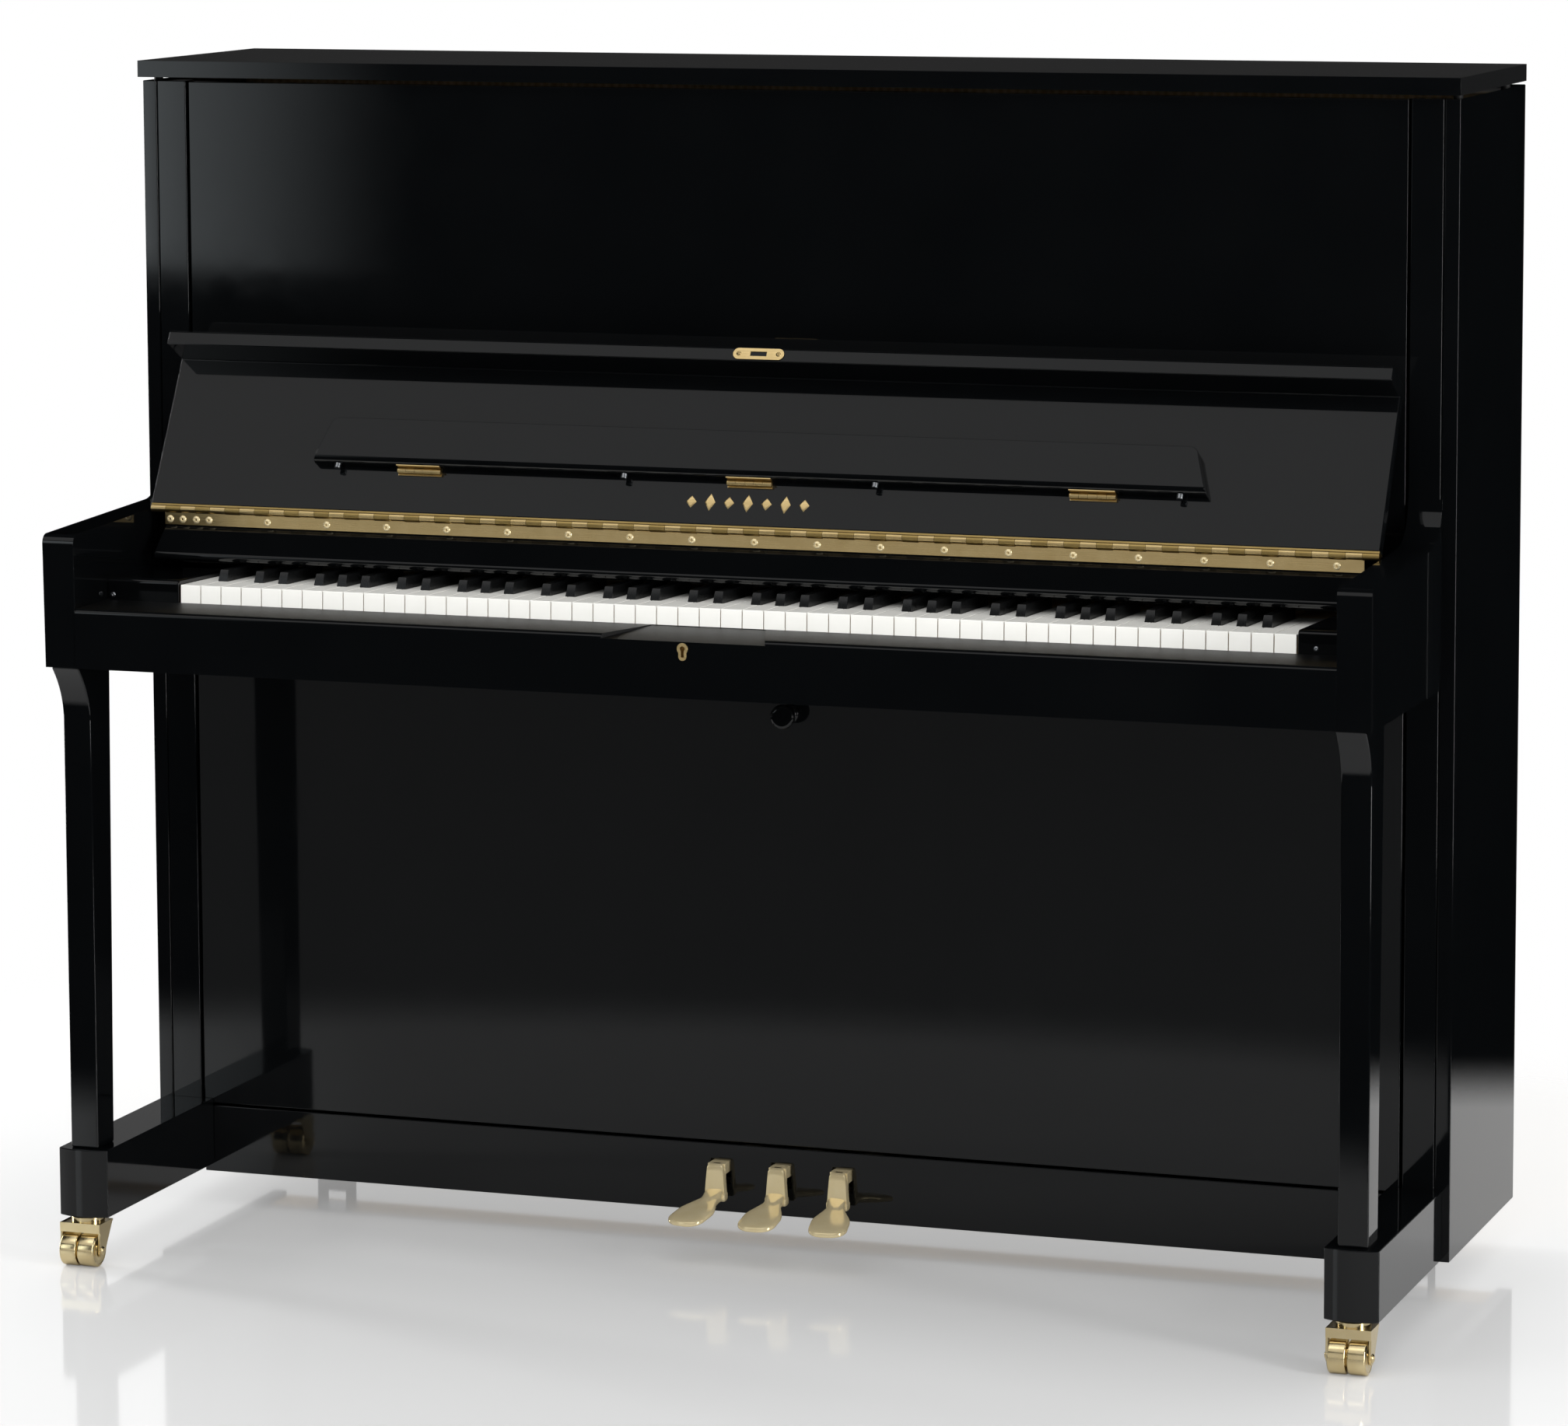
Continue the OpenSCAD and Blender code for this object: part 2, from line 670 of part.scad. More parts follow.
module shelf_hinge_fixed() {
    at = [shelf_s, shelf_n];
    w = shelf_knuckle_w;
    color(brass) on_board() for (x = shelf_hinge_x) let (x0 = x - 2.5 * w) {
        difference() {
            block([x0, x0 + 5 * w], [shelf_s - 4.5, shelf_s], [face_n, face_n + 1.2]);
            knuckle_room(x0, w, 5, 1, at, shelf_knuckle_r);
        }
        knuckles(x0, w, 5, 0, at, shelf_knuckle_r, 1.06);
        rod_x(x0, x0 + 5 * w, at, 1);
    }
}

// Leaf on the shelf's lower edge
module shelf_hinge_moving() {
    at = [shelf_s, shelf_n];
    w = shelf_knuckle_w;
    color(brass) on_board() for (x = shelf_hinge_x) let (x0 = x - 2.5 * w) {
        difference() {
            block([x0, x0 + 5 * w], [shelf_edge - 1, shelf_edge], [face_n + 1, face_n + 12]);
            knuckle_room(x0, w, 5, 0, at, shelf_knuckle_r);
            rod_x(x0 - 1, x0 + 5 * w + 1, at, 1.06);
        }
        knuckles(x0, w, 5, 1, at, shelf_knuckle_r, 1.06);
    }
}

// Keys --------------------------------------------------------------------------------------

// The keys' own frame: Y back along the key from its front, Z up from its top face
module on_key() {
    translate([0, key_y, key_top]) rotate([-key_slope, 0, 0]) children();
}

function note(n) = (n + 5) % 7;
function sharp_left(n) = n > 0 && note(n) != 0 && note(n) != 3;
function sharp_right(n) = n < white_n - 1 && note(n) != 2 && note(n) != 6;
function tail_left(n) = sharp_left(n) ? sharp_shift[note(n)] + sharp_w / 2 + key_gap : key_gap / 2;
function tail_right(n) = sharp_right(n)
    ? key_pitch + sharp_shift[note(n) + 1] - sharp_w / 2 - key_gap : key_pitch - key_gap / 2;
function stick_x(n) = key_x0 + n * key_pitch + (tail_left(n) + tail_right(n)) / 2;
sharp_xs = [for (n = [1:white_n - 1]) if (sharp_left(n)) key_x0 + n * key_pitch + sharp_shift[note(n)]];

// Mortise in a key's underside for its balance pin, and the groove for the bead
module pin_hole(x) {
    translate([x, balance_l, -key_stick - 1]) cylinder(r = 2.4, h = 11, $fn = 16);
    rod_x(x - key_pitch, x + key_pitch, [balance_l, -key_stick], bead_r + bead_play);
}

module white_key(n) {
    x0 = key_x0 + n * key_pitch;
    color(ivory) on_key() difference() {
        union() {
            block([x0 + key_gap / 2, x0 + key_pitch - key_gap / 2], [0, sharp_l - 1], [-key_stick, 0]);
            block([x0 + tail_left(n), x0 + tail_right(n)], [sharp_l - 1, key_len], [-key_stick, 0]);
        }
        pin_hole(stick_x(n));
    }
}

// Sharp: stick, and a cap that narrows upwards and slopes at the front
module sharp_key(x) {
    slope = 5;
    taper = 0.9;
    stick_top = -3;
    color("#1b1b1c") on_key() difference() {
        union() {
            block([x - sharp_w / 2, x + sharp_w / 2], [sharp_l, key_len], [-key_stick, stick_top]);
            intersection() {
                along_x(x - sharp_w, x + sharp_w) polygon([[sharp_l, stick_top - 1], [sharp_l, 1],
                    [sharp_l + slope, sharp_h], [sharp_l + sharp_len, sharp_h],
                    [sharp_l + sharp_len, stick_top - 1]]);
                translate([x, key_len, 0]) rotate([90, 0, 0]) linear_extrude(height = key_len)
                    polygon([[-sharp_w / 2, stick_top - 1], [sharp_w / 2, stick_top - 1],
                        [sharp_w / 2 - taper, sharp_h], [-sharp_w / 2 + taper, sharp_h]]);
            }
        }
        pin_hole(x);
    }
}

module whites(c) {
    for (n = [0:white_n - 1]) if (note(n) == c) white_key(n);
}
module sharps(c) {
    for (n = [1:white_n - 1]) if (note(n) == c && sharp_left(n))
        sharp_key(key_x0 + n * key_pitch + sharp_shift[c]);
}

module keys_c() { whites(0); }
module keys_c_sharp() { sharps(1); }
module keys_d() { whites(1); }
module keys_d_sharp() { sharps(2); }
module keys_e() { whites(2); }
module keys_f() { whites(3); }
module keys_f_sharp() { sharps(4); }
module keys_g() { whites(4); }
module keys_g_sharp() { sharps(5); }
module keys_a() { whites(5); }
module keys_a_sharp() { sharps(6); }
module keys_b() { whites(6); }

// Pedals ------------------------------------------------------------------------------------

// One pedal: bar back to its pivot, neck in front of the toe rail, and a broad toe turned by splay
module pedal(x, splay) {
    neck_y = case_y - 18;
    toe_len = 78;
    head_r = 40;
    bar = [pedal_pivot[1] - 6, pedal_pivot[1] + 6];
    a = asin(toe_w / 2 / head_r);
    color(brass) {
        difference() {
            union() {
                block([x - pedal_w / 2, x + pedal_w / 2], [neck_y + 4, pedal_pivot[0]], bar);
                rod_x(x - pedal_w / 2, x + pedal_w / 2, pedal_pivot, 6);
            }
            rod_x(x - pedal_w, x + pedal_w, pedal_pivot, pedal_pin_r + pedal_play);
        }
        along_x(x - pedal_w / 2, x + pedal_w / 2) polygon([[neck_y + 10, bar[1]], [neck_y + 2, bar[1]],
            [neck_y, bar[1] - 4], [neck_y - 2, 66], [neck_y + 2, 60], [neck_y + 10, 64]]);
        intersection() {
            along_x(x - 60, x + 60) polygon([[neck_y + 4, 69], [neck_y - toe_len, 54],
                [neck_y - toe_len, 46], [neck_y + 4, 60]]);
            translate([x, neck_y, 0]) rotate([0, 0, splay]) linear_extrude(height = 90) polygon(concat(
                [[pedal_w / 2, 4], [-pedal_w / 2, 4], [-pedal_w / 2, -10], [-toe_w / 2, -42]],
                arc([0, head_r - toe_len + 2], head_r, 270 - a, 270 + a, 14),
                [[toe_w / 2, -42], [pedal_w / 2, -10]]));
        }
    }
}

module pedal_left() { pedal(pedal_xs[0], -pedal_splay); }
module pedal_middle() { pedal(pedal_xs[1], 0); }
module pedal_right() { pedal(pedal_xs[2], pedal_splay); }

// Casters -----------------------------------------------------------------------------------

// Swivel fork: spindle in the foot, round cup, bridge with a front apron, two tapering cheeks and
// the axle
module fork_right() {
    half = 23.5;
    cheek = 2.4;
    bridge = [foot_z - 8, foot_z - 5.4];
    x = leg_x;
    color(brass) {
        translate([x, swivel_y, bridge[1] - 1]) cylinder(r = spindle_r, h = 34);
        translate([x, swivel_y, bridge[1] - 0.5]) cylinder(r = 18, h = 5.4);
        block([x - half, x + half], [axle_y - 5, swivel_y + 12], bridge);
        block([x - half, x + half], [axle_y - 7, axle_y - 5], [2 * wheel_r + 1.5, bridge[1]]);
        for (side = [x - half, x + half - cheek]) along_x(side, side + cheek) polygon(concat(
            [[swivel_y + 12, bridge[1]], [axle_y - 5, bridge[1]]],
            arc([axle_y, wheel_r], 7, 180, 330, 8)));
        rod_x(x - half - 2, x + half + 2, [axle_y, wheel_r], axle_r);
    }
}

// Twin wheels on one hub
module wheels_right() {
    half = 20.4;
    hub_r = 12;
    color(brass) difference() {
        union() {
            for (x = [leg_x - half, leg_x + 1])
                rod_x(x, x + half - 1, [axle_y, wheel_r], wheel_r);
            rod_x(leg_x - 2, leg_x + 2, [axle_y, wheel_r], hub_r);
        }
        rod_x(leg_x - 40, leg_x + 40, [axle_y, wheel_r], axle_r + 0.05);
    }
}

module caster_fork_right() { fork_right(); }
module caster_fork_left() { mirror([1, 0, 0]) fork_right(); }
module caster_wheels_right() { wheels_right(); }
module caster_wheels_left() { mirror([1, 0, 0]) wheels_right(); }

module rear_caster_brackets() {
    color(steel) both() {
        block([rear_x - 19, rear_x + 19], [rear_y - 20, rear_y + 20], [floor_z - 3, floor_z]);
        for (side = [-1, 1]) let (x = rear_x + side * 17.5)
            block([x - 1.5, x + 1.5], [rear_y - 12, rear_y + 12], [10, floor_z - 3]);
        rod_x(rear_x - 21, rear_x + 21, [rear_y, wheel_r], axle_r);
    }
}

module rear_wheel_right() {
    color("#3a3a3a") difference() {
        rod_x(rear_x - 14, rear_x + 14, [rear_y, wheel_r], wheel_r);
        rod_x(rear_x - 40, rear_x + 40, [rear_y, wheel_r], axle_r + 0.05);
    }
}
module rear_wheel_left() { mirror([1, 0, 0]) rear_wheel_right(); }

side_panel_left();
side_panel_right();
arm_left();
arm_right();
leg_left();
leg_right();
foot_left();
foot_right();
key_bed();
key_slip();
key_blocks();
fallboard_rail();
fallboard_hinge_lower();
fallboard_lock();
upper_panel();
lower_panel();
lower_panel_knob();
toe_rail();
bottom_board();
back_frame();
soundboard();
iron_plate();
tuning_pins();
strings();
key_frame();
action_frame();
hammers();
dampers();
muffler_rail();
pedal_left();
pedal_middle();
pedal_right();
top_lid();
lid_hinge_lower();
lid_hinge_upper();
fallboard();
fallboard_hinge_upper();
strike_plate();
music_shelf();
shelf_hinge_fixed();
shelf_hinge_moving();
keys_c();
keys_c_sharp();
keys_d();
keys_d_sharp();
keys_e();
keys_f();
keys_f_sharp();
keys_g();
keys_g_sharp();
keys_a();
keys_a_sharp();
keys_b();
caster_fork_left();
caster_fork_right();
caster_wheels_left();
caster_wheels_right();
rear_caster_brackets();
rear_wheel_left();
rear_wheel_right();
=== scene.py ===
"""Upright piano in polished black lacquer: finishes, fittings and a plain studio round it."""

import json
import math

import bmesh
import bpy
import numpy as np
from mathutils import Matrix, Vector

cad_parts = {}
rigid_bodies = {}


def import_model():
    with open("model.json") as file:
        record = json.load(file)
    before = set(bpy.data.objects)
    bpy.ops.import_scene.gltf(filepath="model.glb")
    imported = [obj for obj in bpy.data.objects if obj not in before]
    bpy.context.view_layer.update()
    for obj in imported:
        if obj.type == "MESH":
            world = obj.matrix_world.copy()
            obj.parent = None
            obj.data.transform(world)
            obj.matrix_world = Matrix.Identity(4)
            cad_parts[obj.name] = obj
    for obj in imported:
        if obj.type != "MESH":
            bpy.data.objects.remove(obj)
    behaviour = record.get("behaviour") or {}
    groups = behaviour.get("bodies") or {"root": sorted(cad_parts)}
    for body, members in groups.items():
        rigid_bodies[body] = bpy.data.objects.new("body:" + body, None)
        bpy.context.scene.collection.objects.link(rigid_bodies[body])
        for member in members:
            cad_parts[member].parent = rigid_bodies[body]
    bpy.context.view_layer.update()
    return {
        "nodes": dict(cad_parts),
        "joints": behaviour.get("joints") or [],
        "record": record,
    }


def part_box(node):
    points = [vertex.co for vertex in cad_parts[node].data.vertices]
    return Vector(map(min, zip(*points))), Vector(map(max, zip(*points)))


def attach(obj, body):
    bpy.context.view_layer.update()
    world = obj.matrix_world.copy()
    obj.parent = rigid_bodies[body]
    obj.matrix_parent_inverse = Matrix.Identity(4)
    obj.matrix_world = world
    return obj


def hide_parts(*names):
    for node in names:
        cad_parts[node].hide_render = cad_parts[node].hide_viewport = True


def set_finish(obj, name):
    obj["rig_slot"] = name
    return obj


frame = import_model()
MM = 0.001


# Studio -------------------------------------------------------------------------------------

SENSOR = 36.0
LENS = 137.9554
CAMERA_AT = (2.1159, -6.0055, 1.5916)
CAMERA_TURN = math.radians(19.3665)
CAMERA_DIP = math.radians(7.1036)
CAMERA_ROLL = math.radians(-0.2209)
CAMERA_SHIFT = -0.12


def linear(code):
    """Linear RGBA of an sRGB hex colour."""
    parts = [int(code[i:i + 2], 16) / 255 for i in (1, 3, 5)]
    return [c / 12.92 if c <= 0.04045 else ((c + 0.055) / 1.055) ** 2.4 for c in parts] + [1.0]


def make_camera():
    """Camera turned from the +Y axis, dipped below the horizon and rolled about its own view."""
    data = bpy.data.cameras.new("camera")
    data.sensor_width, data.lens = SENSOR, LENS
    data.shift_y = CAMERA_SHIFT
    data.clip_start, data.clip_end = 0.1, 60
    camera = bpy.data.objects.new("camera", data)
    bpy.context.scene.collection.objects.link(camera)
    ahead = Vector((-math.sin(CAMERA_TURN) * math.cos(CAMERA_DIP),
                    math.cos(CAMERA_TURN) * math.cos(CAMERA_DIP), -math.sin(CAMERA_DIP)))
    right = Vector((math.cos(CAMERA_TURN), math.sin(CAMERA_TURN), 0))
    up = right.cross(ahead)
    side = math.cos(CAMERA_ROLL) * right + math.sin(CAMERA_ROLL) * up
    top = math.cos(CAMERA_ROLL) * up - math.sin(CAMERA_ROLL) * right
    facing = Matrix((side, top, -ahead)).transposed().to_4x4()
    camera.matrix_world = Matrix.Translation(CAMERA_AT) @ facing
    bpy.context.scene.camera = camera


def softbox(name, at, aim, size, power, colour="#ffffff"):
    """Rectangular area light of size metres at one point, facing another."""
    data = bpy.data.lights.new(name, "AREA")
    data.shape, data.size, data.size_y = "RECTANGLE", size[0], size[1]
    data.energy, data.color = power, linear(colour)[:3]
    light = bpy.data.objects.new(name, data)
    light.location = at
    light.rotation_euler = (Vector(aim) - Vector(at)).to_track_quat("-Z", "Y").to_euler()
    light.visible_camera = False
    bpy.context.scene.collection.objects.link(light)
    return light


def light_studio():
    """White surround for the camera and for soft daylight, dark in reflections, and softboxes that
    draw the lacquer's edges: two tall ones at the sides and a broad one overhead in front."""
    world = bpy.data.worlds.new("studio")
    world.use_nodes = True
    sky = world.node_tree.nodes["Background"]
    sky.inputs["Color"].default_value = linear("#ffffff")
    sky.inputs["Strength"].default_value = 1.0
    bpy.context.scene.world = world
    world.cycles_visibility.glossy = False
    bpy.context.scene.view_settings.view_transform = "Standard"
    softbox("left_strip", (-4.2, 0.9, 1.3), (0, 0.2, 0.8), (0.7, 3.0), 105)
    softbox("right_strip", (4.4, -1.6, 1.2), (0.4, -0.1, 0.8), (0.7, 3.0), 115)
    softbox("top_box", (-0.6, -2.5, 3.4), (0, -0.2, 0.8), (5.0, 2.6), 29)


def shine_only_on(light, pieces, through=False):
    """Limits a light to some pieces, as a flag and a card do in a studio. With through set, nothing
    but those pieces casts a shadow from it."""
    group = bpy.data.collections.new(light.name + "_receivers")
    for piece in pieces:
        group.objects.link(piece)
    light.light_linking.receiver_collection = group
    if through:
        light.light_linking.blocker_collection = group


make_camera()
light_studio()


# Finishes -----------------------------------------------------------------------------------

def add(tree, kind, wires=None, values=None, **settings):
    """One node: settings are its own properties, values its inputs by name or number, and wires
    its inputs tied to other nodes' outputs."""
    made = tree.nodes.new(kind)
    for name, value in settings.items():
        setattr(made, name, value)
    for name, value in (values or {}).items():
        made.inputs[name].default_value = value
    for name, source in (wires or {}).items():
        tree.links.new(source, made.inputs[name])
    return made


def start(name):
    """A new material: its tree, its surface shader and its Object coordinates."""
    material = bpy.data.materials.new(name)
    material.use_nodes = True
    tree = material.node_tree
    place = add(tree, "ShaderNodeTexCoord").outputs["Object"]
    return material, tree, tree.nodes["Principled BSDF"], place


def speckle(tree, place, size, stretch=(1, 1, 1), detail=3.0):
    """Noise whose features are size metres across, drawn out along each axis by stretch."""
    scaled = add(tree, "ShaderNodeMapping", {"Vector": place},
                 {"Scale": [1 / (size * s) for s in stretch]})
    return add(tree, "ShaderNodeTexNoise", {"Vector": scaled.outputs["Vector"]},
               {"Scale": 1.0, "Detail": detail}).outputs["Fac"]


def spread(tree, source, low, high):
    """Maps a 0.3 to 0.7 pattern onto the range low to high."""
    return add(tree, "ShaderNodeMapRange", {"Value": source},
               {"From Min": 0.3, "From Max": 0.7, "To Min": low, "To Max": high}).outputs["Result"]


def blend(tree, share, first, second):
    """Colour between two hex colours, or a hex colour and a wire, by share."""
    mixed = add(tree, "ShaderNodeMix", {"Factor": share}, data_type="RGBA")
    for slot, colour in ((6, first), (7, second)):
        if isinstance(colour, str):
            mixed.inputs[slot].default_value = linear(colour)
        else:
            tree.links.new(colour, mixed.inputs[slot])
    return mixed.outputs[2]


def bump(tree, shader, height, depth, strength=1.0):
    """Raises the surface by height, at most depth metres."""
    raised = add(tree, "ShaderNodeBump", {"Height": height},
                 {"Strength": strength, "Distance": depth})
    tree.links.new(raised.outputs["Normal"], shader.inputs["Normal"])


def lacquer():
    """Polyester lacquer, sprayed thick and buffed: a near black mirror, with a slow swell of 30 mm
    left by the sanding block and faint hazy patches where it was buffed."""
    material, tree, shader, place = start("black_polyester_lacquer")
    shader.inputs["IOR"].default_value = 1.43
    tint = blend(tree, speckle(tree, place, 0.12), "#050607", "#090a0b")
    tree.links.new(tint, shader.inputs["Base Color"])
    haze = spread(tree, speckle(tree, place, 0.05), 0.035, 0.07)
    tree.links.new(haze, shader.inputs["Roughness"])
    bump(tree, shader, speckle(tree, place, 0.03, detail=1.0), 0.00002, 0.3)
    return material


def metal(name, light, dark, rough, streak, depth=0.000004, bare=1.0):
    """Metal with a drawn or brushed grain: fine streaks along one axis, and slightly uneven
    tarnish. A bare share below one adds the milky scatter of a clear coat."""
    material, tree, shader, place = start(name)
    shader.inputs["Metallic"].default_value = bare
    grain = speckle(tree, place, 0.0012, streak)
    tarnish = blend(tree, speckle(tree, place, 0.018), light, dark)
    tree.links.new(tarnish, shader.inputs["Base Color"])
    tree.links.new(spread(tree, grain, *rough), shader.inputs["Roughness"])
    bump(tree, shader, grain, depth, 0.4)
    return material


def plastic(name, light, dark, rough, specks=0.0006):
    """Moulded plastic: an even colour with a trace of mottling and a faint moulded texture."""
    material, tree, shader, place = start(name)
    mottle = blend(tree, speckle(tree, place, 0.02), light, dark)
    tree.links.new(mottle, shader.inputs["Base Color"])
    fine = speckle(tree, place, specks)
    tree.links.new(spread(tree, fine, *rough), shader.inputs["Roughness"])
    bump(tree, shader, fine, 0.000015, 0.3)
    return material


def wood(name, early, late, ring, along, rough=(0.38, 0.55)):
    """Sawn and sealed timber: rings ring metres apart, wavering slowly, drawn out along one axis,
    with darker pores."""
    material, tree, shader, place = start(name)
    stretch = [14.0 if axis == along else 1.0 for axis in range(3)]
    sway = add(tree, "ShaderNodeMapping", {"Vector": place},
               {"Scale": [1 / (ring * s) for s in stretch]})
    rings = add(tree, "ShaderNodeTexWave", {"Vector": sway.outputs["Vector"]},
                {"Scale": 0.32, "Distortion": 3.0, "Detail": 2.0, "Detail Scale": 1.2},
                wave_type="BANDS", bands_direction="DIAGONAL")
    pores = speckle(tree, place, 0.0014, [9.0 if axis == along else 1.0 for axis in range(3)])
    base = blend(tree, rings.outputs["Fac"], early, late)
    shaded = add(tree, "ShaderNodeMix", {6: base, "Factor": spread(tree, pores, 0.25, 0.0)},
                 {7: linear("#5a3d22")}, data_type="RGBA")
    tree.links.new(shaded.outputs[2], shader.inputs["Base Color"])
    tree.links.new(spread(tree, pores, *rough), shader.inputs["Roughness"])
    bump(tree, shader, pores, 0.00008, 0.5)
    return material


def felt(name, light, dark):
    """Pressed wool felt: a matted nap of 0.4 mm fibres with a soft sheen."""
    material, tree, shader, place = start(name)
    shader.inputs["Roughness"].default_value = 0.95
    shader.inputs["Sheen Weight"].default_value = 0.5
    nap = speckle(tree, place, 0.0009, detail=6.0)
    tree.links.new(blend(tree, nap, dark, light), shader.inputs["Base Color"])
    bump(tree, shader, nap, 0.0004)
    return material


def cast_iron(name, light, dark):
    """Sand-cast plate under bronze paint: a grainy skin with 2 mm swells."""
    material, tree, shader, place = start(name)
    shader.inputs["Metallic"].default_value = 0.75
    skin = speckle(tree, place, 0.002, detail=5.0)
    tree.links.new(blend(tree, skin, dark, light), shader.inputs["Base Color"])
    tree.links.new(spread(tree, skin, 0.36, 0.52), shader.inputs["Roughness"])
    bump(tree, shader, skin, 0.0003, 0.6)
    return material


black = lacquer()
rubbed = plastic("rubbed_black_lacquer", "#0a0b0c", "#060708", (0.42, 0.55))
hinge_brass = metal("satin_lacquered_brass", "#cdb685", "#b89f6c", (0.24, 0.36), (40, 1, 1))
# Painted shade: a darker, rougher copy of the hinge brass, for the upper leaf's knuckles
knuckle_shade_brass = metal("knuckle_brass_painted_shade", "#a58e5b", "#937c4a", (0.3, 0.42), (40, 1, 1))
caster_brass = metal("turned_brass", "#eddcb0", "#d9c391", (0.14, 0.25), (1, 12, 12))
pedal_brass = metal("polished_brass", "#ecdcb4", "#decb9b", (0.12, 0.2), (1, 8, 8), bare=0.5)
steel = metal("drawn_steel", "#b9bcc0", "#94989c", (0.22, 0.36), (1, 1, 30))
copper = metal("wound_copper", "#b87c50", "#96603a", (0.3, 0.45), (12, 12, 0.5), 0.0002)
rubber = plastic("black_rubber", "#1c1b1a", "#121211", (0.55, 0.75))
wheel_rubber = plastic("wheel_rubber", "#2a2a2b", "#1f1f20", (0.5, 0.7))
beech = wood("beech", "#cda377", "#b5875a", 0.006, 0)
stained = wood("black_stained_board", "#2b2724", "#1d1a18", 0.006, 0)
spruce = wood("spruce", "#dcbf8d", "#c39f67", 0.005, 2)
board_spruce = wood("soundboard_spruce", "#dfc08a", "#cda468", 0.0035, 0, (0.22, 0.34))
gilt_iron = cast_iron("bronzed_iron", "#c2a45c", "#94783a")
red_felt = felt("red_felt", "#93302f", "#5f1a1c")
white_felt = felt("white_felt", "#e9e5dc", "#cfcabd")
black_felt = felt("black_felt", "#19191a", "#0c0c0d")

bodies = frame["record"]["behaviour"]["bodies"]
BODY = {node: body for body, nodes in bodies.items() for node in nodes}
SLOT = {part["node"]: part["material_slot"] for part in frame["record"]["subparts"]}


# Pieces -------------------------------------------------------------------------------------

def finish_piece(obj, material, body, slot, stands_for=()):
    """Gives a piece its finish, ties it to its body and hides the nodes it stands for."""
    if not obj.data.materials:
        obj.data.materials.append(material)
    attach(obj, body)
    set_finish(obj, slot)
    if stands_for:
        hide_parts(*stands_for)
    return obj


UNCLAMPED = ("side_panel_left", "side_panel_right")


def rounded(node, material, edge, steps=2, paint=(), keep=None, limit=30):
    """A CAD node with its edges rounded by edge metres: the node's mesh is copied and merged, flat
    faces are joined, and a bevel takes every edge sharper than limit degrees. paint lists a
    material and a test on face centres; keep drops what lies beyond a plane."""
    mesh = frame["nodes"][node].data.copy()
    mesh.name = node + "_finish"
    work = bmesh.new()
    work.from_mesh(mesh)
    bmesh.ops.remove_doubles(work, verts=work.verts, dist=2e-6)
    bmesh.ops.dissolve_limit(work, angle_limit=math.radians(1.0), verts=work.verts,
                             edges=work.edges)
    if keep is not None:
        cut = bmesh.ops.bisect_plane(work, geom=work.verts[:] + work.edges[:] + work.faces[:],
                                     plane_co=keep[0], plane_no=keep[1], clear_outer=True)
        rim = [e for e in cut["geom_cut"] if isinstance(e, bmesh.types.BMEdge)]
        bmesh.ops.contextual_create(work, geom=rim)
        bmesh.ops.recalc_face_normals(work, faces=work.faces)
    work.to_mesh(mesh)
    work.free()
    if "custom_normal" in mesh.attributes:
        mesh.attributes.remove(mesh.attributes["custom_normal"])
    mesh.materials.clear()
    mesh.materials.append(material)
    count = len(mesh.polygons)
    centres = np.empty(count * 3)
    mesh.polygons.foreach_get("center", centres)
    centres = centres.reshape(-1, 3)
    index = np.zeros(count, dtype=np.int32)
    for number, (other, test) in enumerate(paint, 1):
        mesh.materials.append(other)
        index[test(centres)] = number
    mesh.polygons.foreach_set("material_index", index)
    mesh.polygons.foreach_set("use_smooth", np.ones(count, dtype=bool))
    if not edge:
        mesh.set_sharp_from_angle(angle=math.radians(limit))
    obj = bpy.data.objects.new(node + "_finish", mesh)
    bpy.context.scene.collection.objects.link(obj)
    if edge:
        soft = obj.modifiers.new("soft_edges", "BEVEL")
        soft.width, soft.segments = edge, steps
        soft.limit_method, soft.angle_limit = "ANGLE", math.radians(limit)
        soft.use_clamp_overlap = node not in UNCLAMPED
        even = obj.modifiers.new("flat_faces", "WEIGHTED_NORMAL")
        even.keep_sharp = True
    return finish_piece(obj, material, BODY[node], SLOT[node], (node,))


def grid_mesh(name, sheets, material, body, slot, stands_for=(), smooth=True):
    """One mesh from sheets, each a (rows, columns, 3) array that wraps round its columns. The first
    and last rows close on themselves as caps."""
    points, faces, offset = [], [], 0
    for sheet in sheets:
        rows, columns = sheet.shape[:2]
        points.append(sheet.reshape(-1, 3))
        a = np.arange(rows - 1)[:, None] * columns + np.arange(columns)[None, :]
        b = np.arange(rows - 1)[:, None] * columns + (np.arange(columns)[None, :] + 1) % columns
        quads = np.stack([a, b, b + columns, a + columns], axis=-1).reshape(-1, 4) + offset
        faces += quads.tolist()
        faces.append((np.arange(columns)[::-1] + offset).tolist())
        faces.append((np.arange(columns) + (rows - 1) * columns + offset).tolist())
        offset += rows * columns
    mesh = bpy.data.meshes.new(name)
    mesh.from_pydata(np.concatenate(points).tolist(), [], faces)
    mesh.polygons.foreach_set("use_smooth", [smooth] * len(faces))
    mesh.set_sharp_from_angle(angle=math.radians(38))
    obj = bpy.data.objects.new(name, mesh)
    bpy.context.scene.collection.objects.link(obj)
    return finish_piece(obj, material, body, slot, stands_for)


def turned(profile, at, axis, columns=32):
    """Surface of revolution: profile is (radius, height) pairs, height along axis from at. Radius
    zero is held just open so that the end caps close it."""
    profile = np.asarray(profile, float)
    axis = np.asarray(axis, float) / np.linalg.norm(axis)
    side = np.cross(axis, (0, 0, 1.0) if abs(axis[2]) < 0.9 else (1.0, 0, 0))
    side /= np.linalg.norm(side)
    other = np.cross(axis, side)
    turn = np.linspace(0, 2 * np.pi, columns, endpoint=False)
    ring = np.cos(turn)[:, None] * side + np.sin(turn)[:, None] * other
    radius = np.maximum(profile[:, 0], 1e-5)
    return np.asarray(at) + radius[:, None, None] * ring[None] + profile[:, 1][:, None, None] * axis


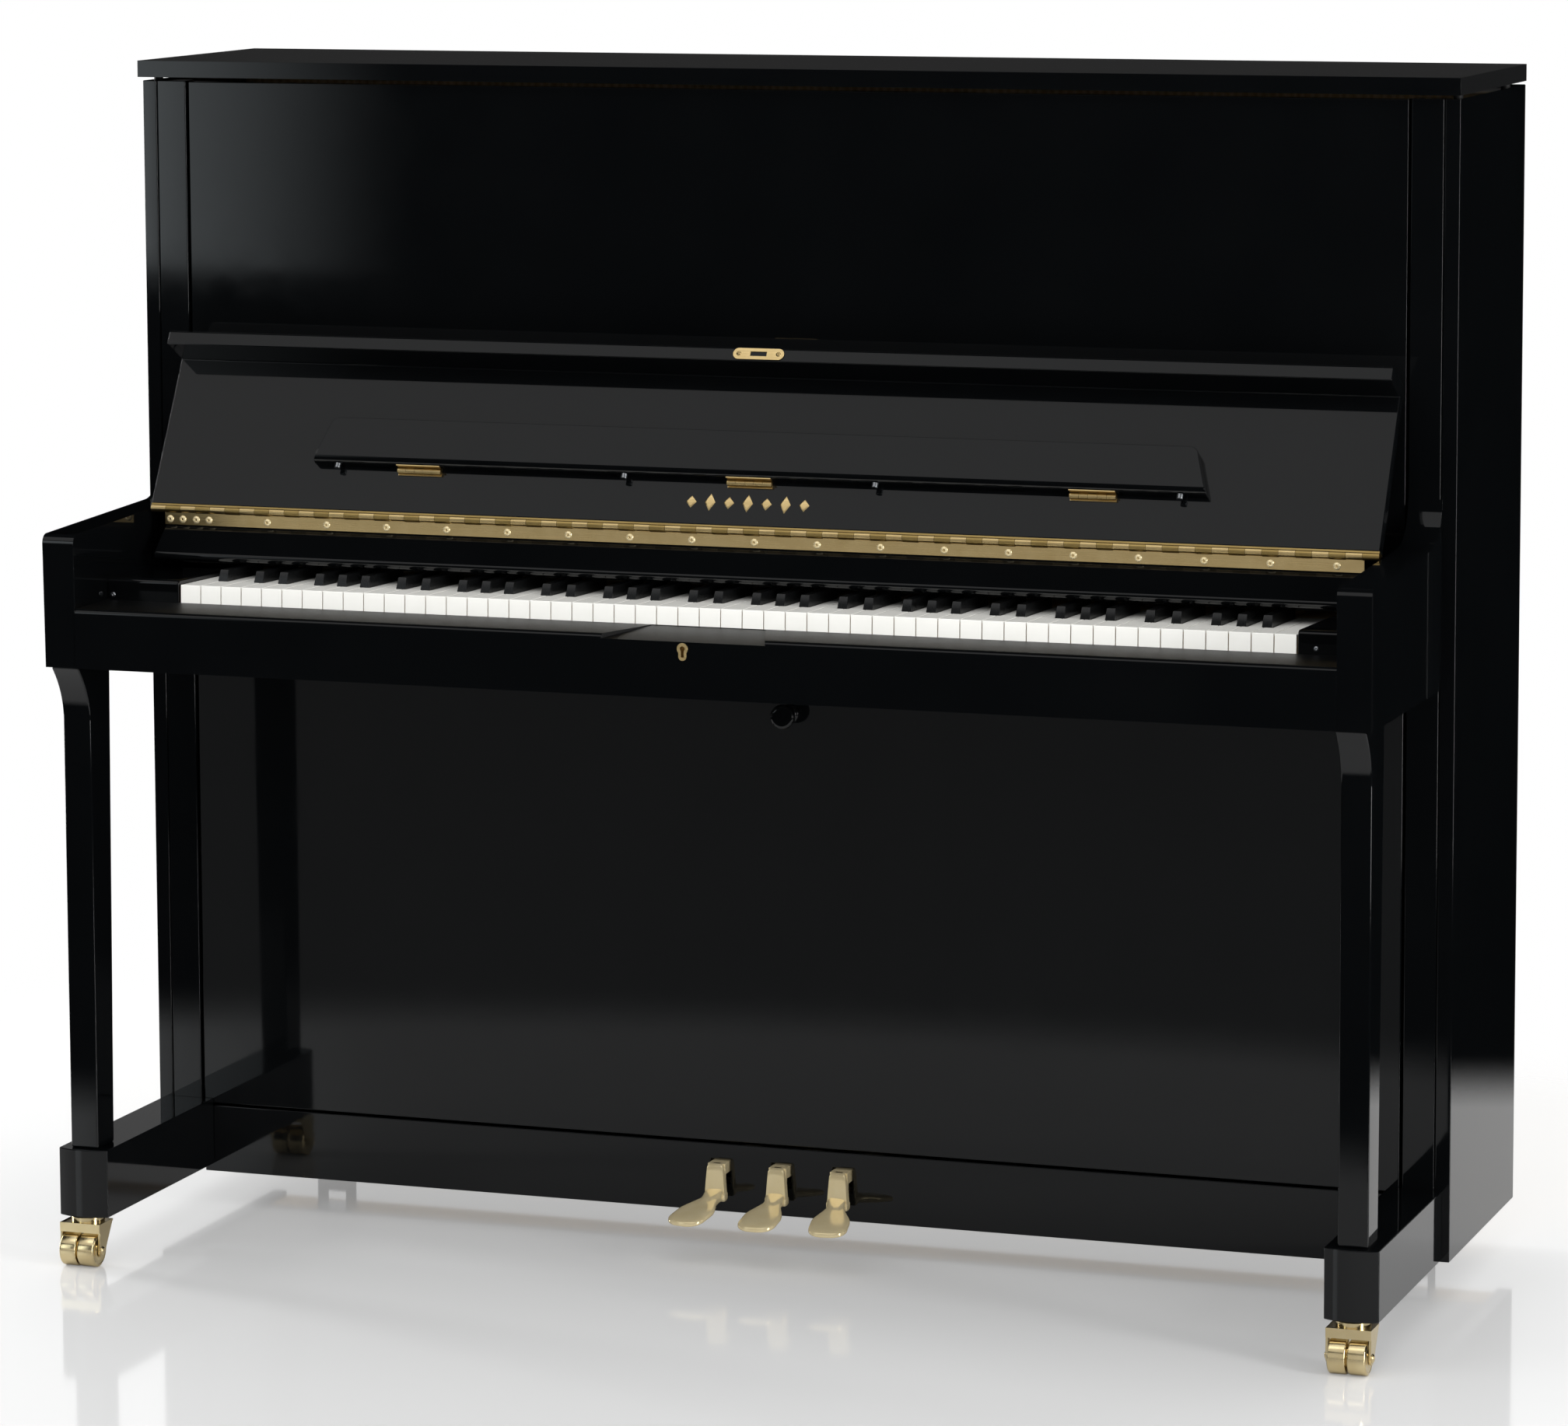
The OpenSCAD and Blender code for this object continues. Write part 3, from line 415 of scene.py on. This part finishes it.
def fillet(corners, radius, steps=4):
    """A (radius, height) outline through corners, with every inner corner rounded by a quarter-like
    curve: a quadratic blend between the two points radius away from the corner."""
    corners = np.asarray(corners, float)
    out = [corners[0]]
    for before, here, after in zip(corners[:-2], corners[1:-1], corners[2:]):
        r = min(radius, np.linalg.norm(before - here) / 2.1, np.linalg.norm(after - here) / 2.1)
        first = here + (before - here) / max(np.linalg.norm(before - here), 1e-9) * r
        last = here + (after - here) / max(np.linalg.norm(after - here), 1e-9) * r
        t = np.linspace(0, 1, steps)[:, None]
        out += list((1 - t) ** 2 * first + 2 * t * (1 - t) * here + t ** 2 * last)
    out.append(corners[-1])
    return np.array(out)


def screw_head(at, out, radius, dome=0.35, columns=20):
    """Countersunk screw head: a low dome with a dimple in its middle."""
    r = radius
    outline = [(r * 0.98, -0.2 * r), (r, 0), (r * 0.92, dome * r * 0.45),
               (r * 0.7, dome * r * 0.8), (r * 0.42, dome * r), (r * 0.36, dome * r * 0.55),
               (r * 0.2, dome * r * 0.2), (0, dome * r * 0.15)]
    return turned(outline, at, out, columns)


# The fallboard's frame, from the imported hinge: s runs up the board, n out of its inner face
JOINT = {joint["name"]: joint for joint in frame["joints"]}
HINGE = Vector(JOINT["fallboard_hinge"]["pos_m"])
SHELF = Vector(JOINT["music_shelf_hinge"]["pos_m"])
FACE_N = 4.1 * MM
SHELF_S, SHELF_N = 51.5 * MM, 7.6 * MM
LEAN = math.atan2(SHELF.z - HINGE.z, SHELF.y - HINGE.y) - math.atan2(SHELF_N, SHELF_S)
UP_BOARD = Vector((0, math.cos(LEAN), math.sin(LEAN)))
OUT_BOARD = Vector((0, -math.sin(LEAN), math.cos(LEAN)))


def on_board(x, s, n):
    """Point at x, s up the board and n out of its hinge plane."""
    return Vector((x, HINGE.y, HINGE.z)) + UP_BOARD * s + OUT_BOARD * n


# Case ---------------------------------------------------------------------------------------

PANEL_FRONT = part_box("lower_panel")[0].y
for node, edge in {"side_panel_left": 1.0, "side_panel_right": 1.0, "arm_left": 2.5,
                   "arm_right": 2.5, "leg_left": 2.0, "leg_right": 2.0, "foot_left": 2.6,
                   "foot_right": 2.6, "key_bed": 1.5, "key_blocks": 1.6, "lower_panel": 1.2,
                   "toe_rail": 1.0, "fallboard": 1.0}.items():
    rounded(node, black, edge * MM, 3)

# The slip's top and scoop are rubbed dull; buffers sit under the lid and behind the panel
slip_low, slip_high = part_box("key_slip")
rounded("key_slip", black, 1.2 * MM, 3,
        [(rubbed, lambda c: (c[:, 2] > slip_high.z - 12 * MM) & (c[:, 1] > slip_low.y + 2 * MM))])
under_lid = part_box("top_lid")[1].z - 18.5 * MM
rounded("top_lid", black, 2.5 * MM, 3, [(rubber, lambda c: c[:, 2] < under_lid)])
rounded("upper_panel", black, 1.2 * MM, 3, [(rubber, lambda c: c[:, 1] < PANEL_FRONT - 1 * MM)])
strip_low, strip_high = HINGE.y + 40.5 * MM, HINGE.y + 49.5 * MM
rail_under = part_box("fallboard_rail")[0].z + 16 * MM
rounded("fallboard_rail", black, 0.8 * MM, 3,
        [(black_felt, lambda c: (c[:, 1] > strip_low - MM) & (c[:, 1] < strip_high + MM)
          & (c[:, 2] < rail_under))])
shelf_low = SHELF_S + 3.3 * MM
rounded("music_shelf", black, 1.4 * MM, 3,
        [(steel, lambda c: (c - np.array(HINGE)) @ np.array(UP_BOARD) < shelf_low)])

# Turned knob: a flared foot, a waist and a button whose face is a shallow dome
low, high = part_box("lower_panel_knob")
button, depth = (high.x - low.x) / 2, high.y - low.y
knob = fillet([(0.75 * button, 0), (0.75 * button, 0.07 * depth), (0.5 * button, 0.14 * depth),
               (0.46 * button, 0.5 * depth), (0.6 * button, 0.62 * depth), (button, 0.7 * depth),
               (button, 0.9 * depth), (0.8 * button, 0.985 * depth), (0, depth)], 2.0 * MM, 5)
knob_foot = (low + high) / 2
knob_foot.y = high.y
grid_mesh("panel_knob", [turned(knob, knob_foot, (0, -1, 0), 48)], black, "case", "lacquer",
          ("lower_panel_knob",))

# Steel screws in the fronts of the key blocks
block_low, block_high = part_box("key_blocks")
block_z = block_high.z - 18.5 * MM
block_xs = (block_low.x + 7 * MM, block_high.x - 41 * MM)
grid_mesh("key_block_screws",
          [screw_head((x, block_low.y, block_z), (0, -1, 0), 2.9 * MM) for x in block_xs],
          steel, "case", "satin_brass")


# Keys ---------------------------------------------------------------------------------------

KEY_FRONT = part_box("keys_c")[0].y
WHITE_KEYS = [node for node in BODY if node.startswith("keys_") and "sharp" not in node]
KEY_TOP = max(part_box(node)[1].z for node in WHITE_KEYS)
KEY_SLOPE = math.radians(1.7)


def key_material(name, cap_light, cap_dark, rough, cap_depth, cap_end, front_cap):
    """Key with a moulded cap on a limewood stick: the cap covers the top down to cap_depth and
    back to cap_end, and the front too as far as front_cap; the rest is pale, straight-grained
    wood."""
    material, tree, shader, place = start(name)
    tip_y = -KEY_FRONT * math.cos(KEY_SLOPE) + KEY_TOP * math.sin(KEY_SLOPE)
    tip_z = -KEY_FRONT * math.sin(KEY_SLOPE) - KEY_TOP * math.cos(KEY_SLOPE)
    level = add(tree, "ShaderNodeMapping", {"Vector": place},
                {"Location": (0, tip_y, tip_z), "Rotation": (KEY_SLOPE, 0, 0)})
    at = add(tree, "ShaderNodeSeparateXYZ", {"Vector": level.outputs["Vector"]}).outputs

    def maths(operation, wires, values=None):
        """Output of one arithmetic node."""
        return add(tree, "ShaderNodeMath", wires, values, operation=operation).outputs[0]

    below = maths("LESS_THAN", {0: at["Z"]}, {1: -cap_depth})
    behind = maths("GREATER_THAN", {0: at["Y"]}, {1: front_cap})
    side = maths("MULTIPLY", {0: below, 1: behind})
    far = maths("GREATER_THAN", {0: at["Y"]}, {1: cap_end})
    bare = maths("MAXIMUM", {0: side, 1: far})
    grain = speckle(tree, place, 0.002, (1, 20, 1))
    stick = blend(tree, grain, "#d9bd92", "#c4a273")
    cap = blend(tree, speckle(tree, place, 0.015), cap_light, cap_dark)
    tree.links.new(blend(tree, bare, cap, stick), shader.inputs["Base Color"])
    gloss = spread(tree, speckle(tree, place, 0.0008), *rough)
    tree.links.new(maths("MAXIMUM", {0: gloss, 1: bare}), shader.inputs["Roughness"])
    bump(tree, shader, grain, 0.00002, 0.3)
    return material


white_key = key_material("white_key_acrylic", "#f6f5f0", "#f0efe9", (0.14, 0.22),
                         2.6 * MM, 150 * MM, 3 * MM)
sharp_key = key_material("sharp_key_phenolic", "#141516", "#0e0f10", (0.24, 0.34),
                         3 * MM, 146 * MM, 0)
for node in BODY:
    if node.startswith("keys_"):
        rounded(node, sharp_key if node.endswith("sharp") else white_key, 0.8 * MM, 2)


# Brass --------------------------------------------------------------------------------------

# Painted shade: the upper leaf's knuckles take a darker, rougher copy of the brass, so they stand a
# little duller than the lower leaf's between them
rounded("fallboard_hinge_upper", hinge_brass, 0, paint=[(knuckle_shade_brass, lambda c: np.hypot(
    c[:, 1] - HINGE.y, c[:, 2] - HINGE.z) < 4.5 * MM)])
for node, edge in {"fallboard_hinge_lower": 0, "fallboard_lock": 0.25,
                   "strike_plate": 0.25, "shelf_hinge_fixed": 0.2, "shelf_hinge_moving": 0.2,
                   "lid_hinge_lower": 0.2, "lid_hinge_upper": 0.2}.items():
    rounded(node, hinge_brass, edge * MM)

# Four close screws at the bass end of the leaf, then one every 69.8 mm
leaf_xs = [-0.662, -0.647, -0.631, -0.616] + [-0.547 + 0.0698 * i for i in range(18)]
leaf_y, leaf_z = HINGE.y - 1 * MM, HINGE.z - 11 * MM
grid_mesh("hinge_screws",
          [screw_head((x, leaf_y, leaf_z), (0, -1, 0), 4.2 * MM, 0.4, 16) for x in leaf_xs],
          pedal_brass, "case", "satin_brass")
LIP_S, LIP_N = 183 * MM, 47.8 * MM
grid_mesh("strike_plate_screws",
          [screw_head(on_board(x * 22.1 * MM, LIP_S, LIP_N), OUT_BOARD, 2.6 * MM) for x in (-1, 1)],
          hinge_brass, "fallboard", "satin_brass")


def lozenge(x, s, wide, tall, thick):
    """Four-sided plate with a raised middle: a ring of four corners at the board's face, one a
    little smaller at full thickness, and a point."""
    turn = np.arange(4) * np.pi / 2
    flat = np.stack([np.cos(turn) * wide / 2, np.sin(turn) * tall / 2], axis=1)
    rings = [(1.0, 0.0), (0.94, thick * 0.7), (0.6, thick), (0.001, thick)]
    return np.array([[on_board(x + u * k, s + v * k, FACE_N + n) for u, v in flat]
                     for k, n in rings])


LOZENGE_S, LOZENGE_PITCH = 30 * MM, 21 * MM
plates = [lozenge(i * LOZENGE_PITCH, LOZENGE_S, 12 * MM, (20 - 6 * (i % 2)) * MM, 0.3 * MM)
          for i in range(-3, 4)]
grid_mesh("fallboard_lozenges", plates, hinge_brass, "fallboard", "satin_brass", smooth=False)


# Pedals -------------------------------------------------------------------------------------

NECK_Y = PANEL_FRONT - 19 * MM
SPLAY = {"left": -9.5, "middle": 0.0, "right": 9.5}
TOE_LONG, TOE_HALF, BAR_HALF = 78 * MM, 21 * MM, 10 * MM
NECK_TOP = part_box("pedal_middle")[1].z


def smooth_step(t):
    """3t^2 - 2t^3 with t held between 0 and 1."""
    t = np.clip(t, 0, 1)
    return t * t * (3 - 2 * t)


def toe_sheet(x, splay, rows=46, columns=56):
    """Toe of a pedal. Each row is a flattened superellipse across the toe,
    |u/w|^4 + |v/h|^3.2 = 1. The half width w swells from the bar to the toe by a smooth step and
    closes at the tip as a superellipse of power 2.6; the top falls towards the tip, and a rib that
    starts as wide as the neck narrows and sinks into it."""
    t = TOE_LONG * (1 - np.cos(np.linspace(0, np.pi, rows))) / 2
    t = t * 0.85 + np.linspace(0, TOE_LONG, rows) * 0.15
    along = t / TOE_LONG
    swell = BAR_HALF + (TOE_HALF - BAR_HALF) * smooth_step((t - 8 * MM) / (38 * MM))
    close = np.clip(1 - np.clip((along - 0.76) / 0.24, 0, 1) ** 2.6, 0, 1) ** (1 / 2.6)
    wide = np.maximum(swell * close, 0.3 * MM)
    top = (69 - 15 * along) * MM
    under = (60 - 13.5 * along) * MM
    thin = np.maximum(close, 0.05) ** 0.5
    middle, half = (top + under) / 2, (top - under) / 2 * thin
    turn = np.linspace(0, 2 * np.pi, columns, endpoint=False)
    cos, sin = np.cos(turn), np.sin(turn)
    u = np.sign(cos) * np.abs(cos) ** 0.5
    v = np.sign(sin) * np.abs(sin) ** 0.62
    across = wide[:, None] * u
    rib = 3.5 * MM + 8 * MM * (1 - smooth_step(t / (34 * MM)))[:, None]
    ridge = 5 * MM * (np.clip(1 - t / (40 * MM), 0, 1) ** 1.3)[:, None] * (sin > 0.05)
    ridge = ridge * (1 - smooth_step((np.abs(across) - rib) / (2 * MM) + 1))
    high = middle[:, None] + half[:, None] * v + ridge
    angle = math.radians(splay)
    back = -(t[:, None] - 2 * MM) + 0 * across
    return np.stack([x + across * math.cos(angle) - back * math.sin(angle),
                     NECK_Y + across * math.sin(angle) + back * math.cos(angle), high], axis=-1)


def neck_sheet(x, columns=40):
    """Upright neck: rounded oblongs, |u|^8 + |v|^8 = 1, stacked up it. It narrows towards the top,
    leans back a little and rounds over into its end, with a ledge where it meets the toe and a
    shallow dish, 1 - |u|^6, in its front face."""
    up = np.array([59.5, 62, 67.5, 68.5, 80, 92, 96.5, 98.6, 99.7, 100.0]) * MM
    half = np.array([11.0, 12.2, 12.2, 11.4, 10.6, 9.6, 9.2, 8.4, 7.0, 4.0]) * MM
    front = np.array([-0.5, 2.4, 2.4, 1.5, 0.9, 0.3, -0.1, -1.2, -2.8, -4.6]) * MM
    rear = 10 * MM
    turn = np.linspace(0, 2 * np.pi, columns, endpoint=False)
    u = np.sign(np.cos(turn)) * np.abs(np.cos(turn)) ** 0.25
    v = np.sign(np.sin(turn)) * np.abs(np.sin(turn)) ** 0.25
    deep, mid = (rear + front) / 2, (rear - front) / 2
    dished = np.array([0, 0, 0, 1, 1, 1, 0.6, 0, 0, 0])[:, None]
    dish = 0.9 * MM * dished * (1 - np.abs(u) ** 6) * (v < -0.9)
    return np.stack([x + half[:, None] * u, NECK_Y + mid[:, None] + deep[:, None] * v + dish,
                     (up / up[-1] * NECK_TOP)[:, None] + 0 * u[None]], axis=-1)


for side, splay in SPLAY.items():
    node = "pedal_" + side
    x = JOINT[node + "_press"]["pos_m"][0]
    grid_mesh("pedal_toe_" + side, [toe_sheet(x, splay), neck_sheet(x)], pedal_brass, node,
              "polished_brass", (node,))
    rounded(node, pedal_brass, 0.8 * MM, 2, keep=((0, NECK_Y + 6 * MM, 0), (0, -1, 0)))


# Casters ------------------------------------------------------------------------------------

def span(node):
    """Width of a node's box across the piano."""
    low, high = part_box(node)
    return high.x - low.x


for side in ("left", "right"):
    hub = Vector(JOINT["front_wheel_spin_" + side]["pos_m"])
    r = hub.z
    half = span("caster_wheels_" + side) / 2
    barrels = fillet([(0, -half), (0.5 * r, -half), (0.55 * r, -half + 0.6 * MM),
                      (0.8 * r, -half + 0.6 * MM), (0.86 * r, -half), (r, -half + 1.4 * MM),
                      (r, -2.0 * MM), (0.94 * r, -1.0 * MM), (0.66 * r, -0.9 * MM),
                      (0.66 * r, 0.9 * MM), (0.94 * r, 1.0 * MM), (r, 2.0 * MM),
                      (r, half - 1.4 * MM), (0.86 * r, half), (0.8 * r, half - 0.6 * MM),
                      (0.55 * r, half - 0.6 * MM), (0.5 * r, half), (0, half)], 1.0 * MM, 4)
    grid_mesh("caster_barrels_" + side, [turned(barrels, hub, (1, 0, 0), 64)], caster_brass,
              "front_wheels_" + side, "satin_brass", ("caster_wheels_" + side,))
    rounded("caster_fork_" + side, caster_brass, 0.4 * MM, 2)
    cheek = span("caster_fork_" + side) / 2
    rivet = [(4.6 * MM, -2.2 * MM), (4.6 * MM, -1.6 * MM), (4.0 * MM, -0.8 * MM),
             (2.6 * MM, -0.2 * MM), (0, 0)]
    grid_mesh("caster_rivets_" + side,
              [turned(rivet, hub + Vector((cheek * end, 0, 0)), (end, 0, 0), 24)
               for end in (-1, 1)],
              caster_brass, "front_fork_" + side, "satin_brass")
    rear = Vector(JOINT["rear_wheel_spin_" + side]["pos_m"])
    tread = fillet([(0, -14 * MM), (0.5 * r, -14 * MM), (0.6 * r, -13 * MM),
                    (0.8 * r, -13 * MM), (r, -11 * MM), (r, 11 * MM), (0.8 * r, 13 * MM),
                    (0.6 * r, 13 * MM), (0.5 * r, 14 * MM), (0, 14 * MM)], 2.0 * MM, 4)
    grid_mesh("rear_tyre_" + side, [turned(tread, rear, (1, 0, 0), 48)], wheel_rubber,
              "rear_wheel_" + side, "wheel_rubber", ("rear_wheel_" + side,))
rounded("rear_caster_brackets", steel, 0.4 * MM)


# Inside and back ----------------------------------------------------------------------------

def near(c, y, z, reach):
    """True where a face lies within reach of a line across the piano at y and z."""
    return (np.abs(c[:, 1] - y) < reach) & (np.abs(c[:, 2] - z) < reach)


board_low, board_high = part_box("soundboard")
rounded("back_frame", spruce, 2.0 * MM, 2, [(beech, lambda c: c[:, 1] < board_low.y - 2 * MM)])
board_front = board_high.y - 24.5 * MM
rounded("soundboard", board_spruce, 0.6 * MM, 2, [(beech, lambda c: c[:, 1] < board_front)])
bottom_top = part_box("bottom_board")[0].z + 21 * MM
pedal_pin_z = JOINT["pedal_middle_press"]["pos_m"][2]
PEDAL_PIN_Y = 0.12
rounded("bottom_board", stained, 1.2 * MM, 2,
        [(beech, lambda c: c[:, 2] > bottom_top),
         (steel, lambda c: near(c, PEDAL_PIN_Y, pedal_pin_z, 3.3 * MM))])
plate_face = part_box("iron_plate")[1].y - 8.2 * MM
rounded("iron_plate", gilt_iron, 1.2 * MM, 2, [(steel, lambda c: c[:, 1] < plate_face)])
rounded("tuning_pins", steel, 0)
note_step = 13.9 * MM
bass_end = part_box("strings")[0].x + 27.6 * note_step
rounded("strings", steel, 0, paint=[(copper, lambda c: c[:, 0] < bass_end)])
_, balance_y, balance_z = JOINT["key_c_press"]["pos_m"]
rounded("key_frame", beech, 0.8 * MM, 2,
        [(steel, lambda c: (np.abs(c[:, 1] - balance_y) < 2.6 * MM)
          & (c[:, 2] > balance_z - 1.9 * MM))])


RAILS_TOP = 0.895


def in_brackets(c):
    """True for faces whose x, to the millimetre, is also found above the rails, at the brackets."""
    x = np.round(c[:, 0], 3)
    return np.isin(x, np.unique(x[c[:, 2] > RAILS_TOP]))


rounded("action_frame", beech, 0.4 * MM, 1, [(gilt_iron, in_brackets)])
_, hammer_y, hammer_z = JOINT["hammer_swing"]["pos_m"]
PIN_REACH = 1.6 * MM
rounded("hammers", beech, 0,
        paint=[(white_felt, lambda c: c[:, 2] > hammer_z + 117.9 * MM),
               (red_felt, lambda c: (c[:, 2] > hammer_z + 71 * MM) & (c[:, 2] < hammer_z + 93 * MM)
                & (c[:, 1] < hammer_y - 1.9 * MM)),
               (steel, lambda c: near(c, hammer_y, hammer_z, PIN_REACH))])
_, damper_y, damper_z = JOINT["damper_lift"]["pos_m"]
pad_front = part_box("dampers")[1].y - 10.1 * MM
rounded("dampers", beech, 0,
        paint=[(steel, lambda c: c[:, 2] > damper_z + 6.1 * MM),
               (white_felt, lambda c: (c[:, 2] > damper_z + 69.9 * MM) & (c[:, 1] > pad_front)),
               (steel, lambda c: near(c, damper_y, damper_z, PIN_REACH))])
rail_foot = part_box("muffler_rail")[1].z - 18.1 * MM
rounded("muffler_rail", beech, 0.5 * MM, 2, [(red_felt, lambda c: c[:, 2] < rail_foot)])


# Floor and glow -----------------------------------------------------------------------------

def pale_floor():
    """Seamless studio floor: pale grey near the piano, faintly glossy, clearing away to the
    white surround further out. The grey, set by distance from the piano, is painted shade and
    reflection."""
    material, tree, shader, place = start("studio_floor")
    # Painted shade and reflection: the floor is grey only near the piano
    near_piano_shade_grey = blend(tree, speckle(tree, place, 0.4), "#e2e2e2", "#dedede")
    tree.links.new(near_piano_shade_grey, shader.inputs["Base Color"])
    gloss = spread(tree, speckle(tree, place, 0.004), 0.05, 0.09)
    tree.links.new(gloss, shader.inputs["Roughness"])
    # Painted shade: the grey clears to the white surround by distance from the piano, not by light
    shrunk = add(tree, "ShaderNodeVectorMath", {0: place}, {1: (0.6, 1.0, 0)},
                 operation="MULTIPLY").outputs["Vector"]
    away = add(tree, "ShaderNodeVectorMath", {0: shrunk}, operation="LENGTH").outputs["Value"]
    fade = add(tree, "ShaderNodeMapRange", {"Value": away}, {"From Min": 0.95, "From Max": 1.4},
               interpolation_type="SMOOTHERSTEP").outputs["Result"]
    clear = add(tree, "ShaderNodeBsdfTransparent").outputs["BSDF"]
    thin = add(tree, "ShaderNodeMath", {0: fade}, {1: 0.2}, operation="MAXIMUM").outputs[0]
    both = add(tree, "ShaderNodeMixShader", {0: thin, 1: shader.outputs["BSDF"], 2: clear})
    tree.links.new(both.outputs["Shader"], tree.nodes["Material Output"].inputs["Surface"])
    return material


def glow_card():
    """Reflector left of the camera: full at its far left, fading out towards its middle."""
    material, tree, shader, place = start("glow_card")
    tree.nodes.remove(shader)
    across = add(tree, "ShaderNodeSeparateXYZ", {"Vector": place}).outputs["X"]
    fade = add(tree, "ShaderNodeMapRange", {"Value": across},
               {"From Min": -2.1, "From Max": -2.75, "To Min": 0.0, "To Max": 1.9},
               interpolation_type="SMOOTHSTEP")
    light = add(tree, "ShaderNodeEmission", {"Strength": fade.outputs["Result"]},
                {"Color": linear("#f2fbff")})
    tree.links.new(light.outputs["Emission"], tree.nodes["Material Output"].inputs["Surface"])
    return material


def flat_sheet(name, corners, material):
    """A plain quadrilateral for the studio, outside the piano."""
    mesh = bpy.data.meshes.new(name)
    mesh.from_pydata(corners, [], [(0, 1, 2, 3)])
    mesh.materials.append(material)
    sheet = bpy.data.objects.new(name, mesh)
    bpy.context.scene.collection.objects.link(sheet)
    return sheet


REACH = 3.0
floor = flat_sheet("studio_floor", [(-REACH, -REACH, 0), (REACH, -REACH, 0), (REACH, REACH, 0),
                                    (-REACH, REACH, 0)], pale_floor())


def finished(*nodes):
    """The finished copies of some nodes."""
    return [bpy.data.objects[node + "_finish"] for node in nodes]


# Each of these lights shines on a few pieces only: the floor, the brass, the pedals, the white
# keys, and the flat faces that mirror a pale card
brass_pieces = [o for o in bpy.data.objects if o.get("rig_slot") == "satin_brass"]
pedal_pieces = [o for o in bpy.data.objects if o.get("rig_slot") == "polished_brass"]
CARD_AT, CARD_AIM, CARD_SIZE = (0, 6, 2.2), (0, 0, 1.0), (12, 4)
shine_only_on(softbox("back_sweep", (0, 5.0, 1.6), (0, 0, 1.6), (14, 5.0), 220), [floor])
shine_only_on(softbox("brass_front_fill", (0, -5.5, 0.9), (0, 0, 0.7), (9, 4), 65), brass_pieces)
shine_only_on(softbox("brass_top_fill", (0, -0.6, 4.0), (0, -0.3, 0.5), (5, 4), 60),
              brass_pieces + pedal_pieces)
shine_only_on(softbox("pedal_card", (0, 2.5, 2.2), (0, -0.1, 0.07), (3, 3), 24), pedal_pieces,
              through=True)
shine_only_on(softbox("key_fill", (0, -3.6, 3.2), (0, 0, 0.75), (4, 2), 70), finished(*WHITE_KEYS))
shine_only_on(softbox("lid_card", CARD_AT, CARD_AIM, CARD_SIZE, 4.2), finished("top_lid"))
shine_only_on(softbox("foot_card", CARD_AT, CARD_AIM, CARD_SIZE, 30),
              finished("foot_left", "foot_right"))
shine_only_on(softbox("panel_card", (-1.0, -3.6, -0.6), (-0.4, -3.0, 1.0), (6, 3.5), 12),
              finished("lower_panel"))
card = flat_sheet("glow_card", [(-3.6, -4.0, 0.7), (-3.6, -4.0, 2.6), (-1.5, -4.0, 2.6),
                                (-1.5, -4.0, 0.7)], glow_card())
card.visible_camera = False
card.visible_shadow = False
